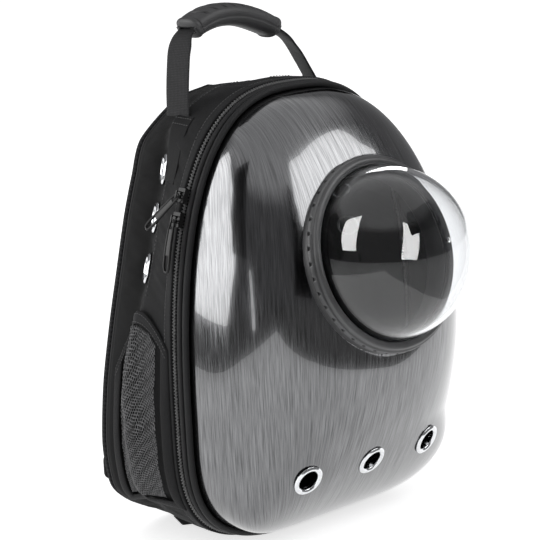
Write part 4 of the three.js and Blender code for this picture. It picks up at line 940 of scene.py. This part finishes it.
grip_stations, grip_around = 300, 96
s = np.linspace(-1, 1, grip_stations)
middle, _, across, up = handle_frame(grip_middle + s * grip_half)
a = np.linspace(0, 2 * np.pi, grip_around, endpoint=False)
wide, high = squared(np.cos(a), 0.8), squared(np.sin(a), 0.8)
end_round = np.sqrt(np.clip(1 - (np.clip(np.abs(s) - 0.93, 0, 1) / 0.075) ** 2, 0.2, 1))
half_across = grip_wide / 2 * end_round * (1 + 0.02 * np.cos(np.pi * s))
collar = 1 - 0.06 * ease(np.abs(s), 0.55, 0.95) + 0.06 * ease(np.abs(s), 0.86, 0.93)
half_up = grip_high / 2 * end_round * collar
along_mm = s[:, None] * grip_long / 2
sideways = half_across[:, None] * wide[None]
pitch, slant = 10.2, 0.42
from_groove = np.mod(along_mm + slant * sideways + pitch / 2, pitch) - pitch / 2
groove_half = 1.15 + 1.2 * ease(sideways, -11, 9)
groove = (np.exp(-(from_groove / groove_half) ** 4) * ease(high[None], 0.30, 0.62)
          * (1 - ease(np.abs(along_mm), 40, 43)))
groove *= 1 - ease(np.abs(sideways), 11.5, 14)
step_line = np.exp(-((high[None] + 0.12) / 0.07) ** 2) * (1 - ease(np.abs(s), 0.9, 0.94))[:, None]
collar_line = np.exp(-((np.abs(s) - 0.885) / 0.012) ** 2)[:, None] * np.ones((1, grip_around))
inset = 2.4 * groove + 0.9 * step_line + 0.8 * collar_line
section = np.sqrt(sideways ** 2 + (half_up[:, None] * high[None]) ** 2)
scale = (1 - inset / np.maximum(section, 4))
grip_outer = (middle[:, None] + across[:, None] * (sideways * scale)[..., None]
              + up[:, None] * (half_up[:, None] * high[None] * scale)[..., None])
box_wide = np.clip(wide / 0.55, -1, 1) * (web_wide / 2 * 0.72 + 1.7)
box_high = np.clip(high / 0.55, -1, 1) * (web_thick / 2 + 1.7)
grip_inner = (middle[:, None] + across[:, None] * box_wide[None, :, None]
              + up[:, None] * box_high[None, :, None])
grip_points = np.concatenate([grip_outer, grip_inner[::-1][[0, 1, 2, 100, 200, 297, 298, 299]]])
rubber = moulded("grip_rubber", (0.016, 0.016, 0.017), (0.055, 0.055, 0.057), 0.5, 1800.0, 0.06)
grip = grid_piece("moulded_grip", grip_points, around=True, along=True)
settle(grip, rubber, "carrier", "grip", "handle_grip")
for side, side_name in ((1, "right"), (-1, "left")):
    row, back = np.meshgrid(np.linspace(9.75, 11.15, 24), np.linspace(ridge_back - 22, ridge_back - 0.5, 20))
    face = body_out(row, back, np.full_like(row, 0.5), side)
    patch = grid_piece(f"handle_foot_patch_{side_name}", face, turned=(side > 0))
    wall(patch, 1.1, 1.0)
    settle(patch, body_cloth, "carrier", "webbing", f"handle_patch_{side_name}")
    for mark, level in (("low", 10.94), ("high", 11.09)):
        back = np.linspace(ridge_back - 21, ridge_back - 1.5, 40)
        at_level = np.full_like(back, level)
        stitch_line(f"foot_stitches_{mark}_{side_name}",
                    lambda lift: body_out(at_level, back, np.full_like(back, 1.6 + lift), side),
                    3.0, 2.0, 0.7, slot_name="webbing")


# ---- Zip sliders and pulls: black plated sliders, one above the other on the coil, each with a moulded
# pull, a flat loop whose upper half is filled, hung from its bridge.
slider_metal = moulded("slider_black", (0.0015, 0.0015, 0.0015), (0.010, 0.010, 0.010), 0.25, 900.0, 0.02,
                       specular=0.22)


def repaint(node_name, material):
    """A solid that is shown as it is gets a finish in place of its plain one."""
    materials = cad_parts[node_name].data.materials
    materials.clear()
    materials.append(material)


for level_name in ("upper", "lower"):
    repaint(f"zip_slider_{level_name}", slider_metal)
pull_rubber = moulded("pull_rubber", (0.0015, 0.0015, 0.0015), (0.014, 0.014, 0.014), 0.3, 1500.0, 0.04,
                      specular=0.25)
for level_name, high, lean_back in (("upper", 330.0, 43.0), ("lower", 310.0, 4.0)):
    level_share = (high - 8 - 112.6) / (402 - 112.6 + 8)
    angle = math.asin(level_share ** (2.68 / 2))
    (inner_x, inner_z), (above_x, above_z) = (rim_at(np.array(turned_by), 8.0)
                                              for turned_by in (angle, angle + 0.02))
    along_zip = np.array([-(above_x - inner_x), 0.0, above_z - inner_z])
    along_zip = unit(along_zip)
    outward = np.array([-along_zip[2], 0.0, along_zip[0]])
    eye_at = np.array([-inner_x, rim_plane + 13.3, inner_z]) + outward * (0.3 + 5.0 + 3.0)
    tilt = math.radians(lean_back)
    down = -along_zip * math.cos(tilt) + np.array([0.0, math.sin(tilt), 0.0])
    beside = along_zip * math.sin(tilt) + np.array([0.0, math.cos(tilt), 0.0])
    pivot = eye_at + down * ((3.0 - 0.4) / 3 * math.cos(2 * tilt))
    a = np.linspace(0, 2 * np.pi, 120, endpoint=False)
    run = squared(np.cos(a), 0.5) * 23.0
    width = squared(np.sin(a), 0.5) * (2.9 + 0.6 * ease(run, -10, 20))
    sag = 5.0 if level_name == "lower" else 0.0
    line = (pivot + down * (23.0 + run)[:, None] + beside * width[:, None]
            - outward * (sag * ((23.0 + run) / 46) ** 2)[:, None])
    tangent = np.roll(line, -1, 0) - np.roll(line, 1, 0)
    tangent = unit(tangent)
    sideways = np.cross(tangent, outward)
    t = np.linspace(0, 2 * np.pi, 12, endpoint=False)
    thick = 0.85 + 0.35 * ease(23.0 + run, 5, 12)
    tube = (line[None] + sideways[None] * (thick[None] * np.cos(t)[:, None])[..., None]
            + outward * (thick[None] * 1.05 * np.sin(t)[:, None])[..., None])
    loop = grid_piece(f"pull_loop_{level_name}", tube, around=True, along=True)
    settle(loop, pull_rubber, f"pull_{level_name}", "slider", f"zip_pull_{level_name}")
    u, v = np.meshgrid(np.linspace(-1, 1, 12), np.linspace(0, 1, 40))
    web_line = pivot + down * (8.0 + 24.0 * v)[..., None] + beside * (u * 3.0)[..., None]
    web_line = web_line + outward * (0.15 * np.cos(u * 1.4) - sag * ((8.0 + 24.0 * v) / 46) ** 2)[..., None]
    web_fill = grid_piece(f"pull_web_{level_name}", web_line)
    wall(web_fill, 1.0, 0.0)
    settle(web_fill, pull_rubber, f"pull_{level_name}", "slider")


# ---- Shoulder straps: foam pads under mesh cloth that hang from the top of the back panel, swollen by
# a short cloth simulation, webbing below them through a ladder buckle, and a folded anchor sewn at
# the body's lower back corners.
pad_route = np.array([
    # share of the way outward, share of the way down, share of the bow away from the back
    (0, 0, 0), (0.08, 0.2, 0.1), (0.28, 0.45, 0.75), (0.62, 0.7, 1), (0.9, 0.88, 0.8), (1, 1, 0.6)])
pad_face, pad_inner, pad_outward, pad_bow, pad_high, pad_down = 132.9, 40, 51.8, 14, 362, 212
for side, side_name in ((1, "right"), (-1, "left")):
    t = spline(pad_route, np.linspace(0, 5, 90), 0.5)
    line = np.stack([side * (pad_inner + pad_outward * t[:, 0]), rim_plane + pad_face + pad_bow * t[:, 2],
                     pad_high - pad_down * t[:, 1]], -1)
    ahead = np.gradient(line, axis=0)
    ahead = unit(ahead)
    across = np.cross(np.array([0.0, 1.0, 0.0]), ahead)
    across = unit(across)
    out = np.cross(ahead, across)
    share = np.linspace(0, 1, 90)
    taper = np.sqrt(np.clip(1 - (np.clip(np.abs(share - 0.5) - 0.46, 0, 1) / 0.04) ** 2, 0.05, 1))
    pad = strap(f"shoulder_pad_{side_name}_foam", line, across, out, 27.5 * taper, 3.6 * taper)
    remesh = pad.modifiers.new("remesh", "REMESH")
    remesh.mode, remesh.voxel_size = "VOXEL", 0.004
    bpy.context.view_layer.objects.active = pad
    pad.select_set(True)
    bpy.ops.object.modifier_apply(modifier="remesh")
    count = len(pad.data.vertices)
    rest = np.empty(count * 3)
    pad.data.vertices.foreach_get("co", rest)
    cloth = pad.modifiers.new("cloth", "CLOTH")
    cloth.settings.use_pressure, cloth.settings.uniform_pressure_force = True, 4.0
    cloth.settings.effector_weights.gravity = 0.0
    cloth.settings.tension_stiffness = cloth.settings.compression_stiffness = 25.0
    cloth.collision_settings.use_self_collision = False
    for number in range(1, 21):
        bpy.context.scene.frame_set(number)
    swollen = np.empty(count * 3)
    seen = pad.evaluated_get(bpy.context.evaluated_depsgraph_get())
    seen.data.vertices.foreach_get("co", swollen)
    move = (swollen - rest).reshape(-1, 3)
    size = np.maximum(np.linalg.norm(move, axis=1, keepdims=True), 1e-9)
    move *= np.minimum(size, 0.0022) / size
    pad.modifiers.clear()
    pad.data.vertices.foreach_set("co", rest + move.ravel())
    pad.data.polygons.foreach_set("use_smooth", np.ones(len(pad.data.polygons), bool))
    bpy.context.scene.frame_set(1)
    pad.select_set(False)
    smooth = pad.modifiers.new("smooth", "SUBSURF")
    smooth.levels = smooth.render_levels = 1
    settle(pad, air_mesh, "carrier", "padding", f"shoulder_pad_{side_name}")

    low_line, pad_end = line[-1], pad_high - pad_down
    anchor_x, anchor_y, anchor_high = side * body_half * 0.86, rim_plane + 127.9 + 1.5, 62
    route = np.array([
        low_line + [0, 0, -2], [low_line[0] * 1.06, low_line[1] - 1, (pad_end * 2 + anchor_high) / 3],
        [(low_line[0] + anchor_x) / 2, anchor_y + 5, (pad_end + anchor_high * 2) / 3],
        [anchor_x - side * 8, anchor_y + 3.1, anchor_high + 4]])
    web = spline(route, np.linspace(0, 3, 80), 0.5)
    ahead = np.gradient(web, axis=0)
    ahead = unit(ahead)
    across = np.array([1.0, 0, 0]) - ahead * ahead[:, :1]
    across = unit(across)
    tail = strap(f"strap_tail_{side_name}", web, across, np.cross(ahead, across), 12.5, 1.0)
    settle(tail, web_cloth, "carrier", "webbing", f"strap_webbing_{side_name}")
    repaint(f"strap_buckle_{side_name}", slider_metal)
    wedge = np.array([(-12, 10), (-14, -10), (2, -16), (17, -8), (17, 12), (4, 16)], float)
    outline_wedge = np.array(soften(wedge, 5.0, 6))
    sizes = [(0.0, 0.02), (0.0, 0.97), (0.35, 1.0), (1.15, 1.0), (1.5, 0.96), (1.5, 0.02)]
    anchor_points = np.stack([np.stack([anchor_x + side * outline_wedge[:, 0] * k,
                                        np.full(len(outline_wedge), anchor_y - 1.5 + 2 * d),
                                        anchor_high + outline_wedge[:, 1] * k], -1) for d, k in sizes])
    anchor = grid_piece(f"strap_end_{side_name}", anchor_points, around=True, turned=(side < 0))
    settle(anchor, flap_cloth, "carrier", "webbing", f"strap_anchor_{side_name}")


# ---- Zip end tab: a folded scrap of the flap cloth over the end of the zip, under the front edge. Its
# solid is flat and thin enough to be shown as it is.
repaint("zip_end_tab", flap_cloth)
